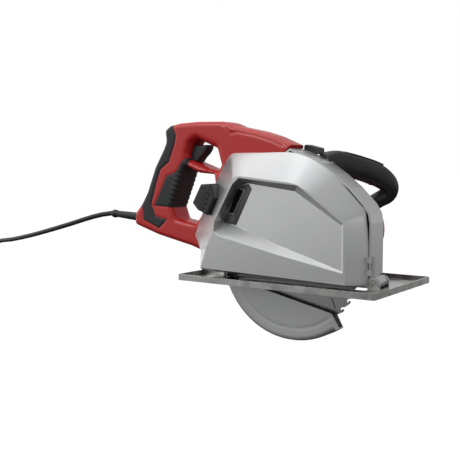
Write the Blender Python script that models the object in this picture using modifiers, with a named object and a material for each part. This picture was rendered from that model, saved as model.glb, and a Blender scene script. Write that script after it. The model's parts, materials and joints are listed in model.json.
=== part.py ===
"""Corded metal-cutting circular saw, resting on its shoe. +X is forwards, +Y the motor side, +Z up.
The origin is on the shoe's sole, under the arbor. Lengths below are millimetres; MM makes them metres.
"""
import math

import bmesh
import bpy
from mathutils import Matrix, Vector

MM = 0.001
GAP = 0.3

# Driving dimensions
SHOE_X = (-154.0, 147.0)
SHOE_Y = (-111.7, 68.4)
SHOE_THICK = 3.0
LIP_HEIGHT = 8.4
PIVOT = (122.0, 13.5)            # front pivot, X and Z
ARBOR = (0.0, 38.3)              # arbor axis, X and Z
BLADE_Y = -49.0
BLADE_RADIUS = 101.6
BLADE_THICK = 1.8
BLADE_TEETH = 42
GUARD_RADIUS = 114.5
GUARD_Y = (-59.7, -30.3)
GUARD_WALL = 1.5
GUARD_SPAN = (-200.0, -55.0)     # degrees from +X about the arbor
CASE_Y = (-61.8, -26.0)
CASE_WALL = 3.0
GEAR_MODULE = 1.25
GEAR_TEETH = 45
PINION_TEETH = 11
PRESSURE_ANGLE = math.radians(25)
MOTOR = (18.5, 68.0)             # armature axis, X and Z: 35 mm from the arbor
MOTOR_RADIUS = 52.0
MOTOR_Y = (7.6, 66.0)
CAP_END = 97.0
DOOR_Y = (-97.5, -62.1)
DOOR_WALL = 2.5
RECESS_DEPTH = 15.0
HINGE = (122.0, -60.0)           # chip door hinge, X and Y
LATCH_TRAVEL = (-2.42, 0.65)     # how far the door latch slides back, in X and Z
LOCK_X = 4.0
SHELL_SPLIT = -38.7
SHELL_HALF = 21.3
DEPTH_RADIUS = 250.0             # depth arm's slot, about the front pivot
STUD_ANGLE = 5.0
CORD_RADIUS = 4.0
FLOOR = ARBOR[1] - GUARD_RADIUS
CORD_ROUTE = [
    (-345.8, -40.4, 84.0), (-356, -40.7, 83.2), (-375, -40.5, 79.6), (-397, -40, 74.8), (-422, -38.5, 68.4),
    (-450, -35, 61.5), (-509, -27, 47.9), (-576, -15, 33.9), (-644, 0, 22), (-694, 12, 15.5), (-735, 20.5, 3.5),
    (-772, 27.5, -17.5), (-803, 31, -41), (-830, 31, -59.5), (-856, 29.5, -69.8), (-882, 28, -72.2),
]
COIL_CENTRE = (-913.0, 82.0)
COIL_RADII = (33.5, 58.5)
COIL_HEIGHT = 16.0
TAIL_ROUTE = [
    (-965, 82, -55.9), (-962.3, 99.5, -55.9), (-952.5, 114.5, -55.9), (-935.5, 125, -55.9), (-913, 128, -55.6),
    (-895, 123.2, -54.6), (-885.4, 115.1, -52.4), (-878.3, 104.3, -49.6), (-877, 93.4, -48.9),
]
PLUG_FACE = (-877.0, 92.0, -48.9)
SCREW_HEAD = [(0, 2), (3, 1.6), (4, 0), (0, 0)]

RED = ((0.60, 0.03, 0.03), 0.35, 0.0)
RUBBER = ((0.02, 0.02, 0.022), 0.7, 0.0)
BLACK = ((0.03, 0.03, 0.03), 0.4, 0.0)
CAST = ((0.55, 0.56, 0.57), 0.4, 0.9)
STEEL = ((0.50, 0.50, 0.50), 0.3, 1.0)
DARK_STEEL = ((0.20, 0.20, 0.21), 0.35, 1.0)
BRASS = ((0.70, 0.50, 0.22), 0.3, 1.0)
COPPER = ((0.65, 0.30, 0.16), 0.35, 1.0)
CARBON = ((0.05, 0.05, 0.05), 0.8, 0.0)
SMOKE = ((0.01, 0.01, 0.012), 0.1, 0.0)


# ---------------------------------------------------------------- helpers
def clear_scene():
    for obj in list(bpy.data.objects):
        bpy.data.objects.remove(obj, do_unlink=True)


def collection(name, helper=False):
    made = bpy.data.collections.get(name)
    if made is None:
        made = bpy.data.collections.new(name)
        made.hide_render = helper
        bpy.context.scene.collection.children.link(made)
    return made


def material(name, look):
    made = bpy.data.materials.new(name)
    made.use_nodes = True
    shader = made.node_tree.nodes["Principled BSDF"]
    shader.inputs["Base Color"].default_value = (*look[0], 1)
    shader.inputs["Roughness"].default_value = look[1]
    shader.inputs["Metallic"].default_value = look[2]
    made.diffuse_color = (*look[0], 1)
    return made


def add(name, data, look):
    """A part with its own material, or a hidden cutter when look is None."""
    obj = bpy.data.objects.new(name, data)
    if look is None:
        collection("cutters", helper=True).objects.link(obj)
        obj.hide_render = True
        obj.display_type = "WIRE"
    else:
        collection("circular_saw").objects.link(obj)
        data.materials.append(material(name, look))
    return obj


def facing(direction):
    """The turn that takes +Z to a direction."""
    return Vector(direction).normalized().to_track_quat("Z", "Y").to_matrix().to_4x4()


def finish_mesh(data, smooth=True):
    made = bmesh.new()
    made.from_mesh(data)
    bmesh.ops.remove_doubles(made, verts=made.verts, dist=1e-6)
    bmesh.ops.recalc_face_normals(made, faces=made.faces)
    made.to_mesh(data)
    made.free()
    if smooth:
        data.shade_smooth()
        data.set_sharp_from_angle(angle=math.radians(35))


def rounded(corners, steps=4):
    """An outline whose corners given as (u, v, radius) become arcs."""
    points = []
    for index, corner in enumerate(corners):
        here = Vector(corner[:2])
        if len(corner) == 2:
            points.append(tuple(here))
            continue
        before = (Vector(corners[index - 1][:2]) - here).normalized()
        after = (Vector(corners[(index + 1) % len(corners)][:2]) - here).normalized()
        half = before.angle(after) / 2
        centre = here + (before + after).normalized() * corner[2] / math.sin(half)
        first = here + before * corner[2] / math.tan(half) - centre
        last = here + after * corner[2] / math.tan(half) - centre
        for step in range(steps + 1):
            spot = first.lerp(last, step / steps).normalized() * corner[2]
            points.append(tuple(centre + spot))
    return points


def inset(points, distance):
    """The outline moved inwards, or outwards when the distance is negative."""
    area = sum(a[0] * b[1] - b[0] * a[1] for a, b in zip(points, points[1:] + points[:1]))
    side = 1 if area > 0 else -1
    moved = []
    for index, point in enumerate(points):
        here = Vector(point)
        one = (here - Vector(points[index - 1])).normalized()
        two = (Vector(points[(index + 1) % len(points)]) - here).normalized()
        normals = [Vector((-d.y, d.x)) * side for d in (one, two)]
        mitre = (normals[0] + normals[1]).normalized()
        moved.append(tuple(here + mitre * distance / max(mitre.dot(normals[0]), 0.5)))
    return moved


def circle(centre, radius, steps=32):
    return [
        (centre[0] + radius * math.cos(2 * math.pi * k / steps),
         centre[1] + radius * math.sin(2 * math.pi * k / steps))
        for k in range(steps)
    ]


def arc(centre, radius, start, end, steps):
    """Points on an arc, with its angles in degrees."""
    angles = [math.radians(start + (end - start) * k / steps) for k in range(steps + 1)]
    return [(centre[0] + radius * math.cos(a), centre[1] + radius * math.sin(a)) for a in angles]


def two_circles(one, radius_one, two, radius_two, steps=14):
    """The outline of a belt round two circles."""
    between = Vector(two) - Vector(one)
    lean = math.degrees(math.atan2(between.y, between.x))
    spread = math.degrees(math.acos((radius_one - radius_two) / between.length))
    return (arc(two, radius_two, lean - spread, lean + spread, steps)
            + arc(one, radius_one, lean + spread, lean + 360 - spread, steps))


def prism(name, outline, low, high, look, axis="Y", edge=0.0, holes=()):
    """A flat outline given thickness along an axis. Its outline is XZ for Y, XY for Z and YZ for X."""
    flat = bpy.data.curves.new(name, "CURVE")
    flat.dimensions = "2D"
    flat.fill_mode = "BOTH"
    flat.extrude = ((high - low) / 2 - edge) * MM
    flat.bevel_depth = edge * MM
    flat.bevel_resolution = 0
    flat.offset = -edge * MM
    for ring in (outline, *holes):
        spline = flat.splines.new("POLY")
        spline.points.add(len(ring) - 1)
        spline.use_cyclic_u = True
        for point, (u, v) in zip(spline.points, ring):
            point.co = (u * MM, v * MM, 0, 1)
    guide = bpy.data.objects.new(name + "_outline", flat)
    bpy.context.scene.collection.objects.link(guide)
    graph = bpy.context.evaluated_depsgraph_get()
    data = bpy.data.meshes.new_from_object(guide.evaluated_get(graph))
    bpy.data.objects.remove(guide, do_unlink=True)
    middle = (low + high) / 2 * MM
    turn = {
        "Z": Matrix.Translation((0, 0, middle)),
        "Y": Matrix(((1, 0, 0, 0), (0, 0, -1, middle), (0, 1, 0, 0), (0, 0, 0, 1))),
        "X": Matrix(((0, 0, 1, middle), (1, 0, 0, 0), (0, 1, 0, 0), (0, 0, 0, 1))),
    }[axis]
    data.transform(turn)
    finish_mesh(data)
    return add(name, data, look)


def turned(name, profile, start, direction, look, steps=32):
    """A profile of (radius, height) turned about an axis. It runs down its outer side."""
    data = bpy.data.meshes.new(name)
    made = bmesh.new()
    spots = [made.verts.new((r * MM, 0, h * MM)) for r, h in profile]
    for one, two in zip(spots, spots[1:]):
        made.edges.new((one, two))
    if min(r for r, _ in profile) > 0:
        made.edges.new((spots[-1], spots[0]))
    made.to_mesh(data)
    made.free()
    obj = add(name, data, look)
    obj.matrix_world = Matrix.Translation(Vector(start) * MM) @ facing(direction)
    screw = obj.modifiers.new("turn", "SCREW")
    screw.steps = screw.render_steps = steps
    screw.use_merge_vertices = True
    screw.merge_threshold = 1e-6
    return obj


def ring(name, centre, outer, inner, low, high, look, steps=32):
    """A plain ring about a line along Y through (X, Z)."""
    profile = [(outer, high), (outer, low), (inner, low), (inner, high)]
    return turned(name, profile, (centre[0], 0, centre[1]), (0, 1, 0), look, steps)


def box(name, low, high, look, edge=0.0):
    data = bpy.data.meshes.new(name)
    made = bmesh.new()
    size = [(b - a) * MM for a, b in zip(low, high)]
    centre = [(a + b) / 2 * MM for a, b in zip(low, high)]
    bmesh.ops.create_cube(made, size=1, matrix=Matrix.LocRotScale(centre, None, size))
    if edge:
        bmesh.ops.bevel(made, geom=list(made.edges), offset=edge * MM, segments=2, profile=0.5,
                        affect="EDGES")
    made.to_mesh(data)
    made.free()
    finish_mesh(data)
    return add(name, data, look)


def rod(name, start, end, radius, look, steps=20):
    data = bpy.data.meshes.new(name)
    made = bmesh.new()
    line = Vector(end) - Vector(start)
    place = Matrix.Translation((Vector(start) + Vector(end)) / 2 * MM) @ facing(line)
    bmesh.ops.create_cone(made, cap_ends=True, segments=steps, radius1=radius * MM, radius2=radius * MM,
                          depth=line.length * MM, matrix=place)
    made.to_mesh(data)
    made.free()
    finish_mesh(data)
    return add(name, data, look)


def smooth_path(points, spacing):
    """Points read evenly from a smooth curve through the given ones."""
    ends = [2 * Vector(points[0]) - Vector(points[1])] + [Vector(p) for p in points]
    ends.append(2 * Vector(points[-1]) - Vector(points[-2]))
    fine = []
    for a, b, c, d in zip(ends, ends[1:], ends[2:], ends[3:]):
        for step in range(20):
            t = step / 20
            fine.append(0.5 * (2 * b + (c - a) * t + (2 * a - 5 * b + 4 * c - d) * t * t
                               + (3 * b - a - 3 * c + d) * t ** 3))
    fine.append(ends[-2])
    length = sum((b - a).length for a, b in zip(fine, fine[1:]))
    count = max(2, round(length / spacing))
    path, walked, wanted = [fine[0]], 0.0, length / count
    for a, b in zip(fine, fine[1:]):
        step = (b - a).length
        while walked + step >= wanted * len(path) and len(path) < count:
            path.append(a.lerp(b, (wanted * len(path) - walked) / step))
        walked += step
    return path + [fine[-1]]


def tube(name, path, radius, look, resolution=3):
    line = bpy.data.curves.new(name, "CURVE")
    line.dimensions = "3D"
    line.bevel_depth = radius * MM
    line.bevel_resolution = resolution
    line.use_fill_caps = True
    spline = line.splines.new("POLY")
    spline.points.add(len(path) - 1)
    for point, spot in zip(spline.points, path):
        point.co = (*(Vector(spot) * MM), 1)
    return add(name, line, look)


def as_mesh(curve, look):
    """The curve's tube as a mesh object, because a curve takes no Boolean."""
    name = curve.name
    graph = bpy.context.evaluated_depsgraph_get()
    data = bpy.data.meshes.new_from_object(curve.evaluated_get(graph))
    bpy.data.objects.remove(curve, do_unlink=True)
    data.materials.clear()
    finish_mesh(data)
    return add(name, data, look)


def boolean(target, kind, others):
    for other in others:
        step = target.modifiers.new(kind.lower(), "BOOLEAN")
        step.operation = kind
        step.object = other
    return target


def cut(target, *others):
    return boolean(target, "DIFFERENCE", others)


def join(target, *others):
    return boolean(target, "UNION", others)


def pivot(obj, point):
    """Moves the object's origin onto its joint's axis and leaves the shape where it is."""
    place = Vector(point) * MM
    obj.data.transform(Matrix.Translation(obj.location - place))
    obj.location = place


def loft(name, back, front, look):
    """A closed skin between two outlines with the same number of (x, y, z) points."""
    data = bpy.data.meshes.new(name)
    made = bmesh.new()
    rows = [[made.verts.new(Vector(p) * MM) for p in outline] for outline in (back, front)]
    count = len(back)
    for k in range(count):
        after = (k + 1) % count
        made.faces.new((rows[0][k], rows[0][after], rows[1][after], rows[1][k]))
    made.faces.new(rows[0])
    made.faces.new(rows[1])
    bmesh.ops.triangulate(made, faces=made.faces)
    made.to_mesh(data)
    made.free()
    finish_mesh(data)
    return add(name, data, look)


# ---------------------------------------------------------------- outlines
def case_outline():
    """The upper guard's casting, in X and Z, from the bottom of its front wall over the top to the rear."""
    return [
        (118.8, 21.5), (118.8, 88), (116.8, 100), (109.5, 111.5), (89, 132.5), (67, 150), (47, 163.5),
        (26, 173.5), (12, 179), (-1, 183.5), (-12.5, 176), (-46, 177.5), (-81, 178), (-94, 175.5),
        (-103, 166.5), (-108, 158.5), (-125, 131), (-144.4, 93.8), (-159.4, 60), (-149.3, 37.5),
        (-147, 12), (110, 12), (110, 21.5),
    ]


def door_back():
    return [
        (114.5, 10), (114.5, 60), (112.3, 89.3), (109.2, 104), (102.9, 111.3), (83.5, 128.7), (60, 149),
        (36, 163), (19, 170), (0, 174.3), (-46, 177.5), (-81, 178.5), (-94, 176), (-103, 167),
        (-125, 131.3), (-144.4, 94), (-159.6, 60), (-149.1, 37.8), (-146, 10),
    ]


def door_front():
    return [
        (100.8, 12.6), (99.5, 50), (98.7, 88), (97.5, 92.5), (93, 97.5), (75, 110.5), (52, 125),
        (33, 135), (22, 138.5), (0, 141), (-45, 145.5), (-60, 146.5), (-67, 144), (-71, 137),
        (-85, 112), (-100, 84), (-103, 68), (-113, 48), (-124, 18),
    ]


def panel_outline():
    """The recessed panel of the chip door."""
    return [
        (97, 88), (29, 133.5), (-59, 142), (-69, 135), (-99, 83.5), (-96, 66), (-60, 57), (96, 28),
    ]


def window_outline():
    return [(-73.5, 132), (-60.5, 126.5), (-78, 94.5), (-91.5, 97.5)]


def handle_outline():
    """The outside of the handle, from the front end of its top bar round to the foot."""
    return [
        (-2.6, 188.5), (-31.5, 200.6), (-56.7, 207.9), (-93.5, 215.3), (-106, 220.5), (-118, 223),
        (-160, 224), (-193, 222.6), (-210, 219.5), (-220, 213, 6), (-218, 196, 12), (-222, 187), (-240, 158),
        (-256, 120), (-266, 104), (-281, 88, 5), (-282, 70, 6), (-236, 56), (-172, 42.5), (-154, 37.2),
    ]


def finger_hole():
    return [
        (-177, 169, 3), (-177, 178), (-172, 193, 6), (-161, 199, 4), (-126, 185, 4), (-119, 162), (-123, 154, 3),
        (-140, 156),
    ]


def hand_hole():
    return [
        (-182, 160, 3), (-157, 150), (-130, 148, 3), (-128, 136, 5), (-149, 95), (-163, 75, 6), (-200, 81, 6),
        (-207, 99, 5), (-192, 135),
    ]


def rear_grip_outline():
    """The rubber strip on the back of the grip."""
    return [
        (-203, 218.5), (-197, 206), (-200, 192), (-211, 166), (-227, 155), (-235, 136), (-246, 102),
        (-237, 84), (-215, 80), (-231, 66), (-262, 78), (-263, 93), (-260.5, 97.5), (-248, 128),
        (-240, 158), (-222, 187), (-218.3, 196), (-220.5, 208),
    ]


def front_grip_outline():
    """The rubber with finger ribs on the front of the grip, whose rear edge faces the hand hole's side."""
    ribs = []
    for k in range(6):
        x, z = -192 - 2.6 * k, 140 - 6.8 * k
        ribs += [(x + 6.0, z + 2), (x + 4.4, z - 2)]
    return (
        [(-183, 171), (-178, 166), (-180, 158), (-183, 150)]
        + ribs
        + [(-203, 97), (-214, 99), (-240.5, 100), (-226, 126), (-216, 145), (-199, 151)]
    )


def gear_outline(teeth, centre, phase):
    """Involute teeth. The phase is the angle of one tooth's middle, in radians."""
    pitch = GEAR_MODULE * teeth / 2
    base = pitch * math.cos(PRESSURE_ANGLE)
    tip = pitch + 0.9 * GEAR_MODULE
    root = pitch - 1.15 * GEAR_MODULE
    half = math.pi / (2 * teeth) - 0.07 / pitch
    involute = math.tan(PRESSURE_ANGLE) - PRESSURE_ANGLE
    flank = []
    for radius in (pitch, tip):
        slope = math.acos(min(1, base / radius))
        flank.append((radius, half + involute - (math.tan(slope) - slope)))
    flank = [(root, flank[0][1] + 0.15 * half)] + flank
    points = []
    for tooth in range(teeth):
        middle = phase + 2 * math.pi * tooth / teeth
        for radius, angle in flank:
            points.append((radius, middle - angle))
        for radius, angle in reversed(flank):
            points.append((radius, middle + angle))
    return [(centre[0] + r * math.cos(a), centre[1] + r * math.sin(a)) for r, a in points]


def blade_outline():
    """Carbide teeth with sloped backs and round gullets."""
    points = []
    step = 2 * math.pi / BLADE_TEETH
    for tooth in range(BLADE_TEETH):
        start = tooth * step
        for drop, turn in ((0, 0), (5.4, -0.06), (6.0, 0.2), (3.0, 0.4)):
            angle = start + turn * step
            radius = BLADE_RADIUS - drop
            points.append((ARBOR[0] + radius * math.cos(angle), ARBOR[1] + radius * math.sin(angle)))
    return points


# ---------------------------------------------------------------- shoe and depth setting
def make_shoe():
    outline = rounded([(SHOE_X[0], SHOE_Y[0], 4), (SHOE_X[1], SHOE_Y[0], 4), (SHOE_X[1], SHOE_Y[1], 4),
                       (SHOE_X[0], SHOE_Y[1], 4)])
    slot = rounded([(-112, -63.5, 3), (112, -63.5, 3), (112, -27.5, 3), (-112, -27.5, 3)])
    notch = rounded([(128, 18, 3), (141, 18, 3), (141, 46, 3), (132, 46, 3)])
    keys = [rounded([(x, -14, 4), (x + 9, -14, 4), (x + 9, 34, 4), (x, 34, 4)]) for x in (96, -142)]
    shoe = prism("shoe_plate", outline, 0, SHOE_THICK, STEEL, axis="Z", holes=[slot, notch, *keys])
    lips = []
    for index, (x0, x1, y0, y1) in enumerate((
        (SHOE_X[0] + 3, SHOE_X[1] - 3, SHOE_Y[0], SHOE_Y[0] + 2.5),
        (SHOE_X[0] + 3, SHOE_X[1] - 3, SHOE_Y[1] - 2.5, SHOE_Y[1]),
        (SHOE_X[0], SHOE_X[0] + 2.5, SHOE_Y[0] + 3, SHOE_Y[1] - 3),
        (SHOE_X[1] - 2.5, SHOE_X[1], SHOE_Y[0] + 3, SHOE_Y[1] - 3),
    )):
        lips.append(box(f"lip_{index}", (x0, y0, 1), (x1, y1, LIP_HEIGHT), None))
    join(shoe, *lips)


def make_pivot():
    low = SHOE_THICK + GAP
    bracket = box("pivot_bracket", (114, -61.4, low), (131, -32.6, low + 2), STEEL)
    side = rounded([(114, low + 1), (131, low + 1), (131, 20.5, 7), (114, 20.5, 7)])
    ears = [prism(f"ear_{k}", side, y, y + 2.4, None) for k, y in enumerate((-61.4, -35.0))]
    join(bracket, *ears)
    hole = rod("pivot_hole", (PIVOT[0], -64, PIVOT[1]), (PIVOT[0], -30, PIVOT[1]), 3.3, None)
    cut(bracket, hole)
    rod("pivot_pin", (PIVOT[0], -61.9, PIVOT[1]), (PIVOT[0], -31.5, PIVOT[1]), 3, STEEL)


def depth_spot(radius, degrees):
    """X and Z at a height angle behind the front pivot."""
    angle = math.radians(180 - degrees)
    return (PIVOT[0] + radius * math.cos(angle), PIVOT[1] + radius * math.sin(angle))


def make_depth_arm():
    outer, inner = DEPTH_RADIUS + 9, DEPTH_RADIUS - 9
    bar = (arc(PIVOT, outer, 180 + 2.2, 180 - 34, 18) + arc(PIVOT, inner, 180 - 34, 180 + 2.2, 18))
    half = 4.5
    slot = (arc(PIVOT, DEPTH_RADIUS + half, 176.5, 180 - 32, 14)
            + arc(PIVOT, DEPTH_RADIUS - half, 180 - 32, 176.5, 14))
    arm = prism("depth_arm", bar, -22.5, -19.5, DARK_STEEL, holes=[slot])
    foot = box("depth_foot", (-137, -22.5, SHOE_THICK + GAP), (-119, -4, SHOE_THICK + GAP + 2.5), None)
    join(arm, foot)
    x, z = depth_spot(DEPTH_RADIUS, STUD_ANGLE)
    rod("depth_stud", (x, -23.6, z), (x, -5, z), 4, STEEL, 16)
    hub = ring("depth_lever", (x, z), 9, 4.3, -19.1, -9, BLACK, 24)
    grip = rounded([(x + 5, z - 5), (x + 58, z + 2, 5), (x + 60, z + 14, 5), (x + 5, z + 6)])
    blade = prism("lever_arm", grip, -18, -11, None)
    join(hub, blade)


# ---------------------------------------------------------------- guards and casting
def make_upper_guard():
    outline = case_outline()
    case = prism("upper_guard", outline, *CASE_Y, CAST)
    inner = inset(outline, CASE_WALL)
    pocket = [(u, -8) if outline[k][1] < 22 else (u, v) for k, (u, v) in enumerate(inner)]
    cut(case, prism("guard_pocket", pocket, CASE_Y[0] - 2, CASE_Y[1] - CASE_WALL, None))
    join(case, prism("gear_chamber", two_circles(ARBOR, 33.5, MOTOR, 50), CASE_Y[1] - 1, 0, None))
    join(case, rod("bearing_boss", (0, -44, ARBOR[1]), (0, -27, ARBOR[1]), 22, None, 32))
    top_stop = box("lock_guide", (LOCK_X - 8, CASE_Y[1] - 1, 150), (LOCK_X + 8, -8, 163), None)
    x, z = depth_spot(DEPTH_RADIUS, STUD_ANGLE)
    stud_boss = rod("stud_boss", (x, CASE_Y[1] - 1, z), (x, -24, z), 8, None)
    front_boss = rod("handle_boss", (36, CASE_Y[1] - 1, 156), (36, -20, 156), 13, None)
    join(case, top_stop, stud_boss, front_boss)
    cut(case, prism("gear_space", two_circles(ARBOR, 31, MOTOR, 11), CASE_Y[1], 2, None))
    cut(case, rod("front_bearing_bore", (0, -46, ARBOR[1]), (0, -31, ARBOR[1]), 16.3, None, 32))
    cut(case, rod("arbor_hole", (0, -32, ARBOR[1]), (0, -24, ARBOR[1]), 10, None))
    cut(case, rod("lock_bore", (LOCK_X, -15, 66), (LOCK_X, -15, 170), 3.4, None, 16))
    px, pz = PIVOT
    knuckle = rod("front_knuckle", (px, -58.7, pz), (px, -35.3, pz), 7.5, None)
    web = box("front_web", (115.0, -58.7, 12.5), (118.5, -35.3, 24), None)
    join(case, knuckle, web)
    cut(case, rod("knuckle_hole", (px, -60, pz), (px, -34, pz), 3.3, None, 16))
    barrel = rod("case_barrel", (*HINGE, 30), (*HINGE, 38), 2.7, None, 16)
    wing = box("case_wing", (117, -60.9, 30), (121.5, -59.1, 38), None)
    join(case, wing, barrel)
    cut(case, rod("case_barrel_hole", (*HINGE, 28), (*HINGE, 40), 1.5, None, 12))


def make_lower_guard():
    start, end = GUARD_SPAN
    rim = arc(ARBOR, GUARD_RADIUS, start, end, 34)
    hub = arc(ARBOR, 28, end + 20, start + 360 - 20, 12)
    guard = prism("lower_guard", rim + hub, *GUARD_Y, CAST)
    inside = (GUARD_Y[0] + GUARD_WALL, GUARD_Y[1] - GUARD_WALL)
    cut(guard, ring_solid("guard_hollow", GUARD_RADIUS - GUARD_WALL, *inside))
    lean = math.radians(-12.5)
    along = Vector((math.cos(lean), math.sin(lean)))
    across = Vector((-along.y, along.x))
    chord = Vector(ARBOR) - across * 55.6
    corners = [chord - along * 130, chord + along * 76, chord + along * 92 - across * 16,
               chord + along * 130 - across * 16, chord + along * 130 + across * 230,
               chord - along * 130 + across * 230]
    window = [tuple(c) for c in corners]
    cut(guard, prism("guard_opening", window, GUARD_Y[0] - 1, inside[0] + 0.4, None))
    join(guard, ring("guard_hub", ARBOR, 28, 20, -36, -31, None))
    cut(guard, rod("guard_bore", (0, -40, ARBOR[1]), (0, -28, ARBOR[1]), 22.4, None, 32))
    pivot(guard, (ARBOR[0], BLADE_Y, ARBOR[1]))
    spring = []
    for k in range(33):
        angle = math.radians(45 * k)
        spring.append((ARBOR[0] + 25.4 * math.cos(angle), -43.2 + 6.4 * k / 32,
                       ARBOR[1] + 25.4 * math.sin(angle)))
    tube("guard_spring", spring, 0.8, STEEL, 1)


def ring_solid(name, radius, low, high):
    """A plain disc about the arbor, for cutting."""
    return rod(name, (ARBOR[0], low, ARBOR[1]), (ARBOR[0], high, ARBOR[1]), radius, None, 80)


# ---------------------------------------------------------------- arbor, blade and gears
def make_arbor():
    line = (ARBOR[0], 0, ARBOR[1])
    shaft = [(6, 5), (6, -5), (8, -5), (8, -44.8), (7.6, -44.8), (7.6, -53.6), (4.3, -53.6), (4.3, -41),
             (0, -41)]
    turned("arbor_shaft", [(0, 5), *shaft], line, (0, 1, 0), STEEL, 24)
    ring("arbor_bearing_front", ARBOR, 16, 8.3, -43, -32, STEEL)
    ring("arbor_bearing_rear", ARBOR, 11, 6.3, 0.6, 5, STEEL, 24)
    face = BLADE_Y + BLADE_THICK / 2
    flange = [(14, -45.1), (24, -46), (24, face + GAP), (7.9, face + GAP), (7.9, -45.1)]
    turned("inner_flange", flange, line, (0, 1, 0), STEEL)
    blade = prism("blade", blade_outline(), face - BLADE_THICK, face, DARK_STEEL,
                  holes=[circle(ARBOR, 7.9, 24)])
    pivot(blade, (ARBOR[0], BLADE_Y, ARBOR[1]))
    near = face - BLADE_THICK - GAP
    turned("outer_flange", [(22, near), (22, near - 2), (14, near - 3.6), (7.9, near - 3.6), (7.9, near)],
           line, (0, 1, 0), STEEL)
    bolt_face = near - 3.6 - GAP
    bolt = [(0, -42), (4, -42), (4, bolt_face), (11, bolt_face), (11, bolt_face - 1.6), (8, bolt_face - 1.6),
            (8, bolt_face - 6.4), (0, bolt_face - 6.4)]
    turned("blade_bolt", bolt, line, (0, 1, 0), DARK_STEEL, 24)
    mesh_angle = math.atan2(MOTOR[1] - ARBOR[1], MOTOR[0] - ARBOR[0])
    gear = prism("driven_gear", gear_outline(GEAR_TEETH, ARBOR, mesh_angle), -20, -10, STEEL,
                 holes=[circle(ARBOR, 8.3, 20)])
    pivot(gear, (ARBOR[0], 0, ARBOR[1]))


def make_motor():
    line = (MOTOR[0], 0, MOTOR[1])
    mesh_angle = math.atan2(MOTOR[1] - ARBOR[1], MOTOR[0] - ARBOR[0])
    space = mesh_angle + math.pi + math.pi / PINION_TEETH
    pinion = prism("pinion", gear_outline(PINION_TEETH, MOTOR, space), -20.5, -9.5, DARK_STEEL,
                   holes=[circle(MOTOR, 4.3, 16)])
    pivot(pinion, line)
    turned("armature_shaft", [(0, 87), (4, 87), (4, -21), (0, -21)], line, (0, 1, 0), STEEL, 16)
    ring("armature_bearing_front", MOTOR, 13, 4.3, 1, 6, STEEL, 24)
    ring("armature_bearing_rear", MOTOR, 9.5, 4.3, 80, 87, STEEL, 24)
    slots = []
    for k in range(12):
        middle = 360 / 12 * k
        slots += arc(MOTOR, 26, middle - 12, middle + 12, 3)
        slots += arc(MOTOR, 18, middle + 13, middle + 17, 1)
    core = prism("armature_core", slots, 19, 55, COPPER, holes=[circle(MOTOR, 4.3, 16)])
    pivot(core, line)
    ring("commutator", MOTOR, 13, 4.3, 60, 74, COPPER, 24)
    vanes = []
    for k in range(14):
        middle = 360 / 14 * k
        vanes += arc(MOTOR, 42, middle - 2, middle + 3, 1) + arc(MOTOR, 22, middle + 5, middle + 22, 2)
    fan = prism("cooling_fan", vanes, 9.5, 16, BLACK, holes=[circle(MOTOR, 4.3, 16)])
    join(fan, ring("fan_disc", MOTOR, 44, 4.6, 8.4, 10, None))
    pivot(fan, line)
    ring("field_stator", MOTOR, 48.3, 27, 19, 57, DARK_STEEL, 40)
    cover = prism("gear_cover", two_circles(ARBOR, 33.5, MOTOR, 50), GAP, 7.3, CAST)
    cut(cover, rod("rear_seat", (ARBOR[0], -1, ARBOR[1]), (ARBOR[0], 5.4, ARBOR[1]), 11.3, None, 24))
    cut(cover, rod("motor_seat", (MOTOR[0], -1, MOTOR[1]), (MOTOR[0], 6.3, MOTOR[1]), 13.3, None, 24))
    cut(cover, rod("shaft_hole", (MOTOR[0], -1, MOTOR[1]), (MOTOR[0], 9, MOTOR[1]), 4.6, None, 16))
    housing = ring("motor_housing", MOTOR, MOTOR_RADIUS, 20, *MOTOR_Y, RED, 36)
    flange = prism("motor_flange", two_circles(ARBOR, 33.5, MOTOR, 50), MOTOR_Y[0], 11.6, None)
    join(housing, flange)
    bore = rod("motor_bore", (MOTOR[0], 4, MOTOR[1]), (MOTOR[0], 70, MOTOR[1]), 48.8, None, 40)
    cut(housing, bore)
    slots = []
    for k in range(3):
        turn = math.radians(20 + 60 * k)
        side = Vector((math.cos(turn), 0, math.sin(turn)))
        slots.append(rod(f"air_slot_{k}", tuple(Vector(line) + side * 70 + Vector((0, 13.4, 0))),
                         tuple(Vector(line) - side * 70 + Vector((0, 13.4, 0))), 1.7, None, 8))
    cut(housing, *slots)
    cap = [(0, CAP_END), (38, CAP_END), (MOTOR_RADIUS - 4, CAP_END - 3.5), (MOTOR_RADIUS, CAP_END - 10),
           (MOTOR_RADIUS, 66.3), (48.8, 66.3), (48.8, CAP_END - 10), (44, CAP_END - 4), (13, CAP_END - 4),
           (13, 79.7), (9.8, 79.7), (9.8, 90), (0, 90)]
    cover = turned("motor_end_cap", cap, line, (0, 1, 0), RED, 36)
    vents = bpy.data.meshes.new("end_vents")
    made = bmesh.new()
    for k in range(8):
        turn = Matrix.Rotation(math.radians(45 * k + 22.5), 4, "Y")
        place = Matrix.Translation(Vector(line) * MM) @ turn @ Matrix.LocRotScale(
            Vector((50, 90, 0)) * MM, None, Vector((14, 12, 5)) * MM)
        bmesh.ops.create_cube(made, size=1, matrix=place)
    made.to_mesh(vents)
    made.free()
    cut(cover, add("end_vents", vents, None))
    for side, name in ((-1, "a"), (1, "b")):
        seat = rod(f"brush_seat_{name}", (MOTOR[0] + side * 30, 74.5, MOTOR[1]),
                   (MOTOR[0] + side * 60, 74.5, MOTOR[1]), 7.3, None, 20)
        cut(cover, seat)
        rod(f"brush_cap_{name}", (MOTOR[0] + side * 40, 74.5, MOTOR[1]),
            (MOTOR[0] + side * 53, 74.5, MOTOR[1]), 7, BLACK, 20)
        inner, outer = sorted((MOTOR[0] + side * 13.4, MOTOR[0] + side * 39))
        box(f"carbon_brush_{name}", (inner, 62, MOTOR[1] - 3), (outer, 73, MOTOR[1] + 3), CARBON)


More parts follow.
